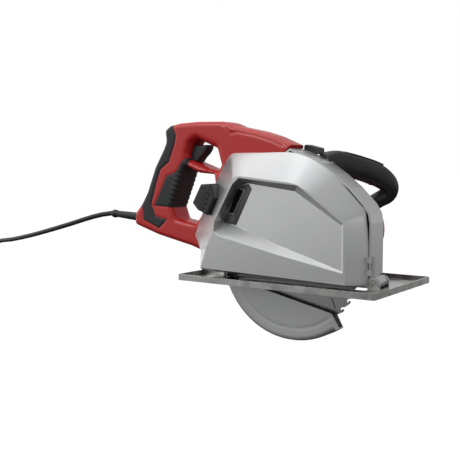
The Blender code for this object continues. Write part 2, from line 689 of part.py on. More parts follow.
def make_spindle_lock():
    rise = rounded([(-1.5, 176), (23, 176), (22, 184.5, 2), (-0.5, 190, 3)])
    button = prism("spindle_lock_button", rise, -24, -8, BLACK)
    join(button, rod("lock_rod", (LOCK_X, -15, 72.4), (LOCK_X, -15, 178), 3, None, 14))
    pivot(button, (LOCK_X, -15, 176))
    spring = [(LOCK_X + 5 * math.cos(math.radians(45 * k)), -15 + 5 * math.sin(math.radians(45 * k)),
               164.3 + 10.4 * k / 32) for k in range(33)]
    tube("spindle_lock_spring", spring, 0.6, STEEL, 1)


# ---------------------------------------------------------------- chip door
def panel_depth(x):
    """How far the recessed panel lies behind the door's face: none at the front, most at the rear."""
    return RECESS_DEPTH * (98.7 - x) / 170


def make_door():
    back, front = door_back(), door_front()
    near, far = DOOR_Y
    door = loft("chip_door", [(x, far, z) for x, z in back], [(x, near, z) for x, z in front], CAST)
    room_back, room_front = inset(back, DOOR_WALL), inset(front, DOOR_WALL)
    panel = panel_outline()
    floor = [(x, near + panel_depth(x) + 0.5, z) for x, z in inset(panel, 1.0)]
    cut(door, loft("panel_recess", floor, [(x, near - 4, z) for x, z in panel], None))
    hollow = loft("chip_space", [(x, far + 1, z) for x, z in room_back],
                  [(x, near + DOOR_WALL + 1 + panel_depth(x), z) for x, z in room_front], None)
    cut(door, hollow)
    cut(door, prism("window_hole", window_outline(), near - 1, near + 22, None))
    lens = inset(window_outline(), 0.4)
    glass = loft("chip_window", [(x, near + panel_depth(x) + 2.4, z) for x, z in lens],
                 [(x, near + panel_depth(x) + 0.4, z) for x, z in lens], SMOKE)
    latch = latch_outline()
    pocket = inset(latch, -0.7)
    travelled = [(u + LATCH_TRAVEL[0], v + LATCH_TRAVEL[1]) for u, v in pocket]
    cut(door, prism("latch_pocket", pocket, -92, -60, None), prism("latch_room", travelled, -93, -59, None))
    leaves, barrels = [], []
    for k, low in enumerate((22, 38.4)):
        leaves.append(box(f"door_leaf_{k}", (111, -65.5, low), (121.5, -62.6, low + 7.6), None))
        barrels.append(rod(f"door_barrel_{k}", (*HINGE, low), (*HINGE, low + 7.6), 2.7, None, 16))
        leaves.append(box(f"door_web_{k}", (120.6, -64, low), (123.4, -60.5, low + 7.6), None))
    join(door, *leaves, *barrels)
    cut(door, rod("door_barrel_hole", (*HINGE, 20), (*HINGE, 50), 1.5, None, 12))
    rod("door_hinge_pin", (*HINGE, 23), (*HINGE, 47), 1.2, STEEL, 12)
    for piece in (door, glass):
        pivot(piece, (*HINGE, 0))
    body = prism("door_latch", latch, -89, -63.5, BLACK, edge=1.5)
    return body


def latch_outline():
    return [(-130, 134.5), (-113, 135.5), (-105, 116), (-118.5, 91), (-136, 98.5), (-145, 108)]


# ---------------------------------------------------------------- handles, trigger and switch
def make_handle():
    case = inset(case_outline(), -GAP - 0.1)
    inner = case[10:20]
    outline = rounded(handle_outline()) + list(reversed(inner))
    halves = ((SHELL_SPLIT - SHELL_HALF, SHELL_SPLIT - GAP / 2), (SHELL_SPLIT + GAP / 2, SHELL_SPLIT + SHELL_HALF))
    finger, hand = rounded(finger_hole()), rounded(hand_hole())
    openings = [prism("finger_opening", finger, -80, 10, None), prism("hand_opening", hand, -80, 10, None)]
    zones = [prism("rear_grip_seat", inset(rear_grip_outline(), -GAP), -80, 10, None),
             prism("front_grip_seat", inset(front_grip_outline(), -GAP), -80, 10, None)]
    core = SHELL_SPLIT
    trigger_slot = box("trigger_slot", (-200, core - 9.8, 164.5), (-150, core + 9.8, 194), None)
    switch_room = box("switch_room", (-213, core - 15, 166), (-176, core + 15, 206), None)
    for name, (low, high) in zip(("handle_shell_near", "handle_shell_far"), halves):
        shell = prism(name, outline, low, high, RED, edge=0)
        cut(shell, *openings, *zones, switch_room, trigger_slot)
    box("switch_module", (-212.5, core - 13, 169), (-192, core + 13, 204), BLACK, 1)
    side = rounded([(-184, 169, 2), (-150, 165.5, 3), (-147.5, 177), (-150, 189, 4), (-184, 191, 2)])
    trigger = prism("trigger", side, core - 9, core + 9, BLACK, edge=1.2)
    pivot(trigger, (-170, core, 178))
    spring = [(-191.3 + 6.6 * k / 40, core + 3.5 * math.cos(math.radians(45 * k)),
               180 + 3.5 * math.sin(math.radians(45 * k))) for k in range(41)]
    tube("trigger_spring", spring, 0.4, STEEL, 1)
    for name, outline in (("rear_grip", rear_grip_outline()), ("front_grip", front_grip_outline())):
        grip = prism(name, outline, core - SHELL_HALF - 0.6, core + SHELL_HALF + 0.6, RUBBER)
        cut(grip, openings[0], switch_room)


def make_front_handle():
    route = [(36, -19.4, 156), (36, -12, 156), (45, 0, 159.5), (63, 20, 154), (77, 43, 146), (88, 58, 134),
             (85, 62, 121), (74, 56, 112.5), (61.2, 52, 104)]
    path = smooth_path(route, 7)
    core = as_mesh(tube("front_handle", path, 9.8, None, 3), BLACK)
    sleeve = as_mesh(tube("front_handle_grip", path[3:15], 13, None, 4), RUBBER)
    bore = as_mesh(tube("sleeve_bore", path[1:17], 10.8, None, 3), None)
    cut(sleeve, bore)
    return core


def make_screws():
    far = SHELL_SPLIT + SHELL_HALF + GAP
    for k, (x, z) in enumerate(((-60, 192), (-140, 208), (-262, 72), (-172, 56))):
        turned(f"handle_screw_{k + 1}", SCREW_HEAD, (x, far, z), (0, 1, 0), DARK_STEEL, 12)
    for k, degrees in enumerate((60, 240)):
        angle = math.radians(degrees)
        place = (MOTOR[0] + 30 * math.cos(angle), CAP_END + GAP, MOTOR[1] + 30 * math.sin(angle))
        turned(f"cap_screw_{k + 1}", SCREW_HEAD, place, (0, 1, 0), DARK_STEEL, 12)


# ---------------------------------------------------------------- cord
def make_cord():
    root = Vector((-282.6, SHELL_SPLIT - 1.5, 79.8))
    along = Vector((-1, 0, 0.066)).normalized()
    relief = [(0, 62), (4.6, 62), (6.4, 59), (6.6, 55), (5.2, 51), (5.4, 48), (6.9, 0), (0, 0)]
    turned("strain_relief", relief, root, along, RUBBER, 16)
    tube("cord", smooth_path(CORD_ROUTE, 3 * CORD_RADIUS * 2), CORD_RADIUS, RUBBER, 2)
    inner, outer = COIL_RADII
    coil = [(outer, COIL_HEIGHT), (outer, 0), (inner, 0), (inner, COIL_HEIGHT)]
    turned("cord_coil", coil, (*COIL_CENTRE, FLOOR), (0, 0, 1), RUBBER, 40)
    tube("cord_tail", smooth_path(TAIL_ROUTE, 2 * CORD_RADIUS * 2), CORD_RADIUS, RUBBER, 2)
    x, y, z = PLUG_FACE
    body = rounded([(x - 6, z - 6, 4), (x + 6, z - 6, 4), (x + 6, z + 6, 4), (x - 6, z + 6, 4)])
    neck = prism("plug_body", body, y - 14, y, RUBBER)
    wide = rounded([(x - 14, z - 11, 5), (x + 14, z - 11, 5), (x + 14, z + 11, 5), (x - 14, z + 11, 5)])
    join(neck, prism("plug_grip", wide, y - 48, y - 12, None, edge=2))
    tips = y - 48 - GAP
    for k, side in enumerate((-6.3, 6.3)):
        middle = x + side
        box(f"plug_pin_{k + 1}", (middle - 0.8, tips - 17, z - 3.2), (middle + 0.8, tips, z + 3.2), BRASS)


def main():
    clear_scene()
    make_shoe()
    make_pivot()
    make_depth_arm()
    make_upper_guard()
    make_lower_guard()
    make_arbor()
    make_motor()
    make_spindle_lock()
    make_door()
    make_handle()
    make_front_handle()
    make_screws()
    make_cord()


main()
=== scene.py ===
"""Looks of the corded metal-cutting circular saw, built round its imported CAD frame.

Every length in an outline is in millimetres in the frame's own axes: +X forwards, +Y to the motor, +Z up.
"""

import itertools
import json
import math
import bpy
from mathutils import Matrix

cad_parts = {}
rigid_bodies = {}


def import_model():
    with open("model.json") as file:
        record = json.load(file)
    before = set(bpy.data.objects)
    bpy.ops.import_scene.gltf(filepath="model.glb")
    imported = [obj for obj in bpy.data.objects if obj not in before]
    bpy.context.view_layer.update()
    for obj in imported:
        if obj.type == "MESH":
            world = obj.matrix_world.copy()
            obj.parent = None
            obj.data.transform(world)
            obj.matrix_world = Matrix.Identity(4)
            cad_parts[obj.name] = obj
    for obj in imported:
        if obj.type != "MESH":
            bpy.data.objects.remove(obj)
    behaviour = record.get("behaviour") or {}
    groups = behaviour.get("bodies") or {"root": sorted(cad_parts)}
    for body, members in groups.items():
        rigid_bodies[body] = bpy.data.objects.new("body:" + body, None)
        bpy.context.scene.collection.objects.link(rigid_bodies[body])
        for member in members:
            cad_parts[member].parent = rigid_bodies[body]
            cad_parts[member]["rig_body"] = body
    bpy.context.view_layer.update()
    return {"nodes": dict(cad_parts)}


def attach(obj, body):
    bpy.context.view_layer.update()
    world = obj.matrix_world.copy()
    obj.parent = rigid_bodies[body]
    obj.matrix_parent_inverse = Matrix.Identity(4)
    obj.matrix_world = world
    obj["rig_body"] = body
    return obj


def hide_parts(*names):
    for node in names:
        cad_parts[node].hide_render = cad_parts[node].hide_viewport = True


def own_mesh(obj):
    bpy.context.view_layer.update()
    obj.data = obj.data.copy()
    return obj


bl_info = {
    "name": "Circular saw looks",
    "version": (1, 0, 0),
    "blender": (4, 5, 0),
    "location": "3D View > Sidebar > Saw",
    "description": "Builds the finished surfaces of a circular saw round its CAD frame",
    "category": "Object",
}

from contextlib import contextmanager

import bmesh
import bpy
import numpy as np
from mathutils import Vector
from mathutils.geometry import delaunay_2d_cdt

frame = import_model()
MM = 0.001

ARBOR = (0.0, 38.3)
BLADE_Y = -49.0
SPLIT_Y = -38.7
SHELL_HALF = 21.3
GRIP_PROUD = 0.6
GRIP_SEAM = (1.3, 0.9)          # depth and width of the step round a rubber grip
SHELL_SEAM = (0.5, 0.8)
SCOOP_DEPTH = 3.2
SCOOP_REACH = 13.0
RIB_PITCH = 7.4
RIB_REACH = 11.0
RIB_FOOT = (-183, 150)          # where the finger ribs begin, and the way they run down the grip
RIB_WAY = (-0.42, -0.907)
TRIGGER_HALF = 9.0
TRIGGER_ROUND = 3.0
LATCH_RIB_LINE = [(-130, -89.2, 103.5), (-121, -89.2, 123)]
GUARD_RADIUS = 114.5
GUARD_Y = (-59.7, -30.3)
GUARD_WALL = 1.5
GUARD_ROUND = 5.0
GUARD_SPAN = (-200.0, -55.0)
GUARD_LINE = (17.0, 0.55, 0.9)  # the stamped line's distance from the rim, height and width
GUARD_LEAN = -12.5
GUARD_CHORD = 55.6
GUARD_WINDOW = [(-130, 0), (76, 0), (92, -16), (130, -16), (130, 230), (-130, 230)]
GUARD_HUB = (28.0, 22.4)        # radii of the open end's inner edge and of the hole round the arbor
TOOTH_START = 0.9
BLADE_MARKS = (
    ("tooth_tips", 99.8, 42, "carbide", (2.3, 1.8, 3.0)),
    # black bars stand in for the blade's slots: their black is painted shade of the openings, which are not
    # cut
    ("blade_slots", 84.0, 8, "blade_slot_black", (1.95, 1.5, 15)),
)
COVER_BACK = -62.1
COVER_FACE = -97.5
COVER_WALL = 2.2
COVER_LIP = 0.8
HINGE_LINE = (122, -60)
KNUCKLE_FEET = (22, 38.4)
KNUCKLE_HEIGHT = 7.6
KNUCKLE_RADII = (1.5, 2.7)
RECESS_SLOPE = 15.0 / 170
RECESS_FRONT = 98.7
PANEL_SETBACK = 1.2
CORD_RADIUS = 4.0
COIL_CENTRE = (-913.0, 82.0)
FLOOR_Z = -76.2
RELIEF_END = (-344.5, -40.2, 83.9)
CORD_ROUTE = [
    (-345.8, -40.4, 84.0), (-356, -40.7, 83.2), (-375, -40.5, 79.6), (-397, -40, 74.8),
    (-422, -38.5, 68.4), (-450, -35, 61.5), (-509, -27, 47.9), (-576, -15, 33.9), (-644, 0, 22),
    (-694, 12, 15.5), (-735, 20.5, 3.5), (-772, 27.5, -17.5), (-803, 31, -41), (-830, 31, -59.5),
    (-856, 29.5, -69.8), (-882, 28, -72.2),
]
TAIL_ROUTE = [
    (-965, 82, -55.9), (-962.3, 99.5, -55.9), (-952.5, 114.5, -55.9), (-935.5, 125, -55.9),
    (-913, 128, -55.6), (-895, 123.2, -54.6), (-885.4, 115.1, -52.4), (-878.3, 104.3, -49.6),
    (-877, 93.4, -48.9), (-877, 91, -48.9),
]


# ---------------------------------------------------------------- what a user may change
def colour_property(name, description, default):
    """A colour a user may pick."""
    return bpy.props.FloatVectorProperty(name=name, description=description, subtype="COLOR", size=3,
                                         min=0, max=1, default=default)


def length_property(name, description, default):
    """A length a user may set, in metres."""
    return bpy.props.FloatProperty(name=name, description=description, default=default, min=0,
                                   subtype="DISTANCE", unit="LENGTH")


class SawColours(bpy.types.PropertyGroup):
    housing: colour_property("Housing", "Moulded red nylon of the handle and motor", (0.54, 0.014, 0.015))
    rubber: colour_property("Rubber", "Soft grips", (0.026, 0.027, 0.029))
    plastic: colour_property("Black plastic", "Trigger, latch, lever, front handle", (0.022, 0.022, 0.024))
    cast: colour_property("Cast silver", "Blade cover and upper guard", (0.62, 0.625, 0.63))
    guard: colour_property("Guard grey", "Swinging lower guard", (0.66, 0.665, 0.67))
    blade: colour_property("Blade", "Ground blade steel", (0.42, 0.42, 0.43))


class SawShapes(bpy.types.PropertyGroup):
    handle_round: length_property("Handle rounding", "Radius along the handle's edges", 0.0075)
    cover_round: length_property("Cover rounding", "Radius along the blade cover's edges", 0.0011)
    skin_step: length_property("Skin step", "Size of the triangles on the handle", 0.0019)
    rib_height: length_property("Rib height", "How far the finger ribs of the front grip stand out", 0.0009)
    handle_slits: bpy.props.IntProperty(name="Handle slits", description="Slits under the front handle",
                                        default=11, min=0, max=30)


class SawStage(bpy.types.PropertyGroup):
    lens: bpy.props.FloatProperty(name="Lens", description="Focal length", default=61.15, unit="CAMERA")
    key: bpy.props.FloatProperty(name="Key light", description="Power of the key light in watts", default=13)
    backdrop: bpy.props.FloatProperty(name="Backdrop", description="Brightness of the backdrop", default=1.0)


# ---------------------------------------------------------------- outlines, in X and Z
COVER_REAR_EDGE = [
    (114.5, 10), (114.5, 60), (112.3, 89.3), (109.2, 104), (102.9, 111.3), (84.5, 129.7), (62, 151),
    (38.5, 165.5), (21, 172.8), (0, 177.3), (-46, 177.3), (-81, 177.3), (-94, 176), (-103, 167),
    (-125, 131.3), (-144.4, 94), (-159.4, 60), (-149.1, 37.8), (-146, 10),
]
COVER_FACE_EDGE = [
    (100.8, 12.6), (99.5, 50), (98.7, 88), (97.5, 92.5), (93, 97.5), (75, 110.5), (52, 125), (33, 135),
    (22, 138.5), (0, 141), (-45, 145.5), (-60, 146.5), (-67, 144), (-71, 137), (-85, 112), (-100, 84),
    (-103, 68), (-113, 48), (-124, 18),
]
COVER_CURVED = (1, 16)          # the corners between which the cover's edges are smooth curves
RECESS_EDGE = [
    (97.3, 89), (32, 135.3), (-59, 144.2), (-69.2, 136.2), (-99.4, 84.2), (-101.3, 70), (-94.5, 64.5),
    (-3, 45.5), (97.3, 27.2),
]
PANEL_EDGE = [
    (94.6, 86.7), (23.5, 127.6), (-54.5, 137), (-67.8, 133.2), (-97.2, 84.4), (-97.4, 80.8), (-75, 77.5),
    (-3, 56.5), (94.6, 30.0),
]
FRAME_EDGE = [(-52.5, 135.8), (-47.5, 129.2), (-74.6, 79.0), (-96, 81.6), (-96.1, 84.4), (-67.3, 132.2)]
WINDOW_EDGE = [(-72.0, 130.4), (-60.0, 126.8), (-79.2, 94.4), (-89.4, 95.2)]
HANDLE_EDGE = [
    (-2.6, 188.5), (-31.5, 200.6), (-56.7, 207.9), (-93.5, 215.3), (-106, 220.5), (-118, 223),
    (-160, 224), (-193, 222.6), (-210, 219.5), (-220, 213, 6), (-218, 196, 12), (-222, 187), (-240, 158),
    (-256, 120), (-266, 104), (-281, 88, 5), (-282, 70, 6), (-236, 56), (-172, 42.5), (-154, 37.2),
]
CASE_TOP = [
    (-149.3, 37.5), (-159.4, 60), (-144.4, 93.8), (-125, 131), (-108, 158.5), (-103, 166.5), (-94, 175.5),
    (-81, 178), (-46, 177.5), (-12.5, 176),
]
FINGER_HOLE = [
    (-177, 169, 3), (-177, 178), (-172, 193, 6), (-161, 199, 4), (-126, 185, 4), (-119, 162),
    (-123, 154, 3), (-140, 156),
]
HAND_HOLE = [
    (-182, 160, 3), (-157, 150), (-130, 148, 3), (-128, 136, 5), (-149, 95), (-163, 75, 6), (-200, 81, 6),
    (-207, 99, 5), (-192, 135),
]
REAR_GRIP = [
    (-203, 218.5), (-197, 206), (-200, 192), (-211, 166), (-227, 155), (-235, 136), (-246, 102),
    (-237, 84), (-215, 80), (-231, 66), (-262, 78), (-263, 93), (-272, 105), (-262, 130), (-245, 165),
    (-228, 190), (-230, 222), (-210, 228),
]
FRONT_GRIP = [
    (-176, 171), (-176, 158), (-160, 130), (-182, 88), (-203, 97), (-214, 99), (-240.5, 100), (-226, 126),
    (-216, 145), (-199, 151), (-183, 171),
]
TRIGGER_EDGE = [
    (-183.8, 190.7, 2), (-148, 190.7, 2), (-149.6, 184), (-154.6, 177.5), (-160.5, 172.6), (-164, 168.5),
    (-165.5, 166, 1.5), (-183.8, 166, 2),
]
TOP_GROOVE = [(-96.5, 206.5), (-88, 207.5), (-60, 202.5), (-32, 194.5), (-14, 187)]
TOP_CREASE = [(-116, 221), (-97, 205)]
FRONT_ROUTE = [
    (30, -19.2, 161), (36, -11, 163.5), (45, 0, 163), (62, 20, 156.5), (76, 43, 148), (87, 58, 135),
    (85, 62, 121), (74, 56, 112.5), (61.2, 52, 104),
]
FRONT_WIDTHS = ((0.05, 16.0), (0.2, 13.0), (0.72, 13.0), (0.9, 10.4))      # half widths along the route
FRONT_HEIGHTS = ((0.1, 17.2), (0.25, 15.6), (0.52, 15.6), (0.85, 10.6))
PANEL_RUN = (0.16, 0.56)        # the shares of the route between which the front handle has its panel
PANEL_RISE = 15.4
SLIT_DROP = 14.6
COIL_RADII = (
    (0, 54), (270, 54), (360, 46), (630, 46), (720, 38), (1170, 38), (1260, 46), (1530, 46), (1620, 54),
    (1800, 54), (1890, 52),
)
COIL_HEIGHTS = ((0, 0), (900, 0), (990, 7.8), (1800, 7.8), (1890, 16.3))
COIL_START = (-897, 28, -72.2)


# ---------------------------------------------------------------- tables of pieces, lights and sky
SOFTENED = (
    ("shoe_plate", "shoe", "plated_steel", 0.5, "plated_steel", 25),
    ("pivot_bracket", "bracket", "plated_steel", 0.4, "plated_steel", 30),
    ("door_latch", "latch", "black_nylon", 1.0, "black_plastic", 30),
    ("spindle_lock_button", "lock_button", "black_nylon", 0.6, "black_plastic", 30),
    ("depth_lever", "lever", "black_nylon", 0.8, "black_plastic", 30),
    ("depth_arm", "arm", "dark_steel", 0.4, "dark_steel", 30),
    ("upper_guard", "case", "cast_silver", 0.8, "cast_aluminium", 25),
    ("motor_housing", "motor_shell", "red_nylon", 0.8, "red_housing", 25),
    ("motor_end_cap", "motor_cap", "red_nylon", 0.8, "red_housing", 25),
)
SPRINGS = (
    ("trigger_spring", "trigger_pull", (1, 0, 0), (-0.1917, -0.0387, 0.18), 0.3),
    ("spindle_lock_spring", "spindle_lock_press", (0, 0, 1), (0.0108, -0.015, 0.1638), 0.62),
)
LAMPS = (
    ("key", (-0.9, -1.3, 1.5), (0, 0, 0.05), 0.9, 1.0),
    ("top", (-0.3, 0.2, 1.6), (0, 0, 0.1), 1.2, 0.4),
    ("rim", (1.4, 0.9, 0.3), (0, 0, 0.05), 0.6, 0.08),
)
SKY_UPWARDS = ((0.0, 0.04), (0.36, 0.08), (0.42, 0.36), (0.46, 0.76), (0.5, 0.82), (0.72, 0.74), (1.0, 0.74))
SKY_SIDEWAYS = ((0.12, 1.45), (0.16, 1.25), (0.22, 0.85), (0.4, 0.68), (1.0, 0.62))
FLOOR_CORNERS = ((-6, -6), (6, -6), (6, 12), (-6, 12))
FLOOR_GAP = 0.0005
CAMERA_PLACE = (0.5358, -0.9618, 0.1609)
CAMERA_TURN = 35.16
CAMERA_RISE = 4.73


# ---------------------------------------------------------------- shape helpers
def rounded(corners, steps=4):
    """An outline whose corners given as (u, v, radius) become arcs."""
    points = []
    for index, corner in enumerate(corners):
        here = Vector(corner[:2])
        if len(corner) == 2:
            points.append(tuple(here))
            continue
        before = (Vector(corners[index - 1][:2]) - here).normalized()
        after = (Vector(corners[(index + 1) % len(corners)][:2]) - here).normalized()
        half = before.angle(after) / 2
        centre = here + (before + after).normalized() * corner[2] / math.sin(half)
        first = here + before * corner[2] / math.tan(half) - centre
        last = here + after * corner[2] / math.tan(half) - centre
        for step in range(steps + 1):
            points.append(tuple(centre + first.lerp(last, step / steps).normalized() * corner[2]))
    return points


def inset(points, distance):
    """The outline moved inwards, or outwards when the distance is negative."""
    area = sum(a[0] * b[1] - b[0] * a[1] for a, b in zip(points, points[1:] + points[:1]))
    side = 1 if area > 0 else -1
    moved = []
    for index, point in enumerate(points):
        here = Vector(point)
        one = (here - Vector(points[index - 1])).normalized()
        two = (Vector(points[(index + 1) % len(points)]) - here).normalized()
        normals = [Vector((-d.y, d.x)) * side for d in (one, two)]
        mitre = (normals[0] + normals[1]).normalized()
        moved.append(tuple(here + mitre * distance / max(mitre.dot(normals[0]), 0.5)))
    return moved


def divided(loop, step, closed=True):
    """The outline with points added so that none lie further apart than the step."""
    ends = loop[1:] + loop[:1] if closed else loop[1:]
    points = []
    for a, b in zip(loop, ends):
        count = max(1, math.ceil((Vector(b) - Vector(a)).length / step))
        points += [tuple(Vector(a).lerp(Vector(b), k / count)) for k in range(count)]
    return points if closed else points + [tuple(loop[-1])]


def curve_point(a, b, c, d, t):
    """A point between b and c, at share t, on a smooth curve through four points."""
    squared, cubed = 2 * a - 5 * b + 4 * c - d, 3 * b - a - 3 * c + d
    return 0.5 * (2 * b + (c - a) * t + squared * t * t + cubed * t ** 3)


def curved(loop, first, last, steps):
    """The outline with a smooth curve through its corners from the first to the last of them."""
    made = [tuple(p) for p in loop[:first]]
    for k in range(first, last):
        a, b, c, d = (Vector(loop[i % len(loop)]) for i in (k - 1, k, k + 1, k + 2))
        a, d = (2 * b - c if k == first else a), (2 * c - b if k == last - 1 else d)
        made += [tuple(curve_point(a, b, c, d, step / steps)) for step in range(steps)]
    return made + [tuple(p) for p in loop[last:]]


def arc(centre, radius, start, end, steps):
    """Points of an arc between two angles in degrees."""
    angles = [math.radians(start + (end - start) * k / steps) for k in range(steps + 1)]
    return [(centre[0] + radius * math.cos(a), centre[1] + radius * math.sin(a)) for a in angles]


def distance_to(points, line, closed=True):
    """How far each point of an array lies from a line of points."""
    a = np.array(line, float)
    b = np.roll(a, -1, axis=0) if closed else a[1:]
    a = a if closed else a[:-1]
    along = b - a
    best = np.full(len(points), 1e9)
    for start, run in zip(a, along):
        offset = points - start
        share = np.clip(offset @ run / max(run @ run, 1e-12), 0, 1)
        best = np.minimum(best, np.linalg.norm(offset - share[:, None] * run, axis=1))
    return best


def inside(points, loop):
    """Which points of an array lie in a closed outline."""
    found = np.zeros(len(points), bool)
    for (x0, z0), (x1, z1) in zip(loop, loop[1:] + loop[:1]):
        crosses = (z0 > points[:, 1]) != (z1 > points[:, 1])
        if z0 != z1:
            found ^= crosses & (points[:, 0] < (x1 - x0) * (points[:, 1] - z0) / (z1 - z0) + x0)
    return found


def flat_skin(outline, holes=(), lines=(), step=2.0, fill=True, soft=False):
    """Points and triangles over an outline, with its edges and inner lines kept.

    With fill they also cover the middle, and with soft two more rows of points follow the rims.
    """
    loops = [divided(list(loop), step) if fill else list(loop) for loop in (outline, *holes, *lines)]
    points, edges = [], []
    for loop in loops:
        first = len(points)
        points += loop
        edges += [(first + k, first + (k + 1) % len(loop)) for k in range(len(loop))]
    if fill:
        edge_points = np.array(points)
        low, high = edge_points.min(0), edge_points.max(0)
        rows = np.arange(low[1], high[1], step * 0.87)
        columns = np.arange(low[0], high[0], step)
        grid = np.array([(x + (k % 2) * step / 2, z) for k, z in enumerate(rows) for x in columns])
        keep = inside(grid, loops[0])
        for hole in loops[1:1 + len(holes)]:
            keep &= ~inside(grid, hole)
        grid = grid[keep]
        near = np.min([distance_to(grid, loop) for loop in loops], axis=0)
        points += [tuple(p) for p in grid[near > step * (0.95 if soft else 0.55)]]
        if soft:
            rims = loops[:1 + len(holes)]
            for loop, side in zip(rims, [1] + [-1] * len(holes)):
                for depth in (0.25, 0.8):
                    ring = np.array(inset(loop, side * depth * step))
                    near = np.min([distance_to(ring, other) for other in rims], axis=0)
                    points += [tuple(p) for p in ring[near > depth * step * 0.9]]
    spots, _, triangles, *_ = delaunay_2d_cdt([Vector(p) for p in points], edges, [], 0, 1e-5)
    spots = np.array([tuple(p) for p in spots])
    triangles = np.array([t for t in triangles if len(t) == 3])
    middle = spots[triangles].mean(axis=1)
    keep = inside(middle, loops[0])
    for hole in loops[1:1 + len(holes)]:
        keep &= ~inside(middle, hole)
    return spots, triangles[keep]


def new_piece(name, mesh, body, finish, replaces=(), sharp=35.0):
    """A finished piece at the origin, riding on a CAD body. With no sharp angle its shading is kept."""
    obj = bpy.data.objects.new(name, mesh)
    bpy.context.scene.collection.objects.link(obj)
    mesh.materials.clear()
    mesh.materials.append(finished(finish))
    if sharp is not None:
        mesh.shade_smooth()
        mesh.set_sharp_from_angle(angle=math.radians(sharp))
    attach(obj, body)
    if replaces:
        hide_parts(*replaces)
    return obj


@contextmanager
def editing(mesh):
    """The mesh opened for edits, which are written back at the end."""
    work = bmesh.new()
    work.from_mesh(mesh)
    yield work
    work.to_mesh(mesh)
    work.free()


def mesh_from(name, points, faces, recalculate=True):
    """A mesh from millimetre points, with its doubles merged and its faces turned outwards."""
    mesh = bpy.data.meshes.new(name)
    corners = [tuple(int(i) for i in face) for face in faces]
    mesh.from_pydata([tuple(c * MM for c in point) for point in points], [], corners)
    with editing(mesh) as work:
        bmesh.ops.remove_doubles(work, verts=work.verts, dist=1e-6)
        bmesh.ops.dissolve_degenerate(work, edges=work.edges, dist=1e-7)
        if recalculate:
            bmesh.ops.recalc_face_normals(work, faces=work.faces)
    return mesh


def evaluated(obj, name):
    """The object with its modifiers applied, as a plain mesh. The object goes."""
    graph = bpy.context.evaluated_depsgraph_get()
    mesh = bpy.data.meshes.new_from_object(obj.evaluated_get(graph), depsgraph=graph)
    mesh.name = name
    bpy.data.objects.remove(obj, do_unlink=True)
    return mesh


def with_modifiers(mesh, *steps):
    """The mesh after modifiers given as (type, settings)."""
    obj = bpy.data.objects.new("work", mesh)
    bpy.context.scene.collection.objects.link(obj)
    for kind, settings in steps:
        step = obj.modifiers.new(kind.lower(), kind)
        for key, value in settings.items():
            setattr(step, key, value)
    return evaluated(obj, mesh.name)


def bevelled(mesh, width, angle=30.0, segments=3):
    """The mesh with its edges rounded by a width in millimetres, where they turn by more than the angle."""
    return with_modifiers(mesh, ("BEVEL", {
        "width": width * MM, "segments": segments, "limit_method": "ANGLE",
        "angle_limit": math.radians(angle), "harden_normals": True, "use_clamp_overlap": True,
        "miter_outer": "MITER_ARC"}))


def merged_copy(node):
    """A CAD node's shape with its loose triangles merged and its flat faces made whole."""
    mesh = frame["nodes"][node].data.copy()
    mesh.name = node + "_copy"
    with editing(mesh) as work:
        bmesh.ops.remove_doubles(work, verts=work.verts, dist=2e-6)
        bmesh.ops.dissolve_limit(work, angle_limit=math.radians(0.5), verts=work.verts, edges=work.edges)
    return mesh


def softened(node, name, finish, width, slot, angle=30.0):
    """A CAD node shown with its edges rounded."""
    mesh = bevelled(merged_copy(node), width, angle, 2)
    body = frame["nodes"][node]["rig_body"]
    return new_piece(name, mesh, body, finish, [node], sharp=None)


def joined(meshes, name):
    """One mesh of several."""
    made = bpy.data.meshes.new(name)
    with editing(made) as work:
        for mesh in meshes:
            work.from_mesh(mesh)
    return made


def relief(name, spots, triangles, near, far):
    """A closed solid over a flat skin, between two Y values or arrays of them, its sides straight."""
    near, far = (np.broadcast_to(y, len(spots)) for y in (near, far))
    used = np.unique(triangles)
    place = {int(v): k for k, v in enumerate(used)}
    count = len(used)
    points = [(spots[v][0], near[v], spots[v][1]) for v in used]
    points += [(spots[v][0], far[v], spots[v][1]) for v in used]
    tris = [tuple(place[int(v)] for v in t) for t in triangles]
    faces = tris + [tuple(v + count for v in reversed(t)) for t in tris]
    sides = [pair for a, b, c in tris for pair in ((a, b), (b, c), (c, a))]
    taken = set(sides)
    faces += [(b, a, a + count, b + count) for a, b in sides if (b, a) not in taken]
    return mesh_from(name, points, faces)


def frames_along(path):
    """Each point of a path with a side and an up direction that don't twist."""
    points = [Vector(p) for p in path]
    ahead, behind = points[1:] + points[-1:], points[:1] + points[:-1]
    up = Vector((0, 0, 1))
    made = []
    for point, after, before in zip(points, ahead, behind):
        tangent = (after - before).normalized()
        up = (up - tangent * up.dot(tangent)).normalized()
        made.append((point, tangent.cross(up), up))
    return made


def swept(name, path, sections):
    """A closed tube whose section, a list of (side, up) offsets, changes along the path."""
    count = len(sections[0])
    spots, faces = [], []
    for (point, side, up), section in zip(frames_along(path), sections):
        spots += [tuple(point + side * s + up * u) for s, u in section]
    for row in range(0, len(spots) - count, count):
        for k in range(count):
            after = (k + 1) % count
            faces.append((row + k, row + after, row + count + after, row + count + k))
    faces.append(tuple(range(count)))
    faces.append(tuple(range(len(spots) - count, len(spots))))
    return mesh_from(name, spots, faces)


def smooth_path(points, spacing):
    """Points read evenly from a smooth curve through the given ones."""
    ends = [2 * Vector(points[0]) - Vector(points[1])] + [Vector(p) for p in points]
    ends.append(2 * Vector(points[-1]) - Vector(points[-2]))
    fine = []
    for a, b, c, d in zip(ends, ends[1:], ends[2:], ends[3:]):
        fine += [curve_point(a, b, c, d, step / 20) for step in range(20)]
    fine.append(ends[-2])
    length = sum((b - a).length for a, b in zip(fine, fine[1:]))
    count = max(2, round(length / spacing))
    path, walked, wanted = [fine[0]], 0.0, length / count
    for a, b in zip(fine, fine[1:]):
        step = (b - a).length
        while walked + step >= wanted * len(path) and len(path) < count:
            path.append(a.lerp(b, (wanted * len(path) - walked) / step))
        walked += step
    return path + [fine[-1]]


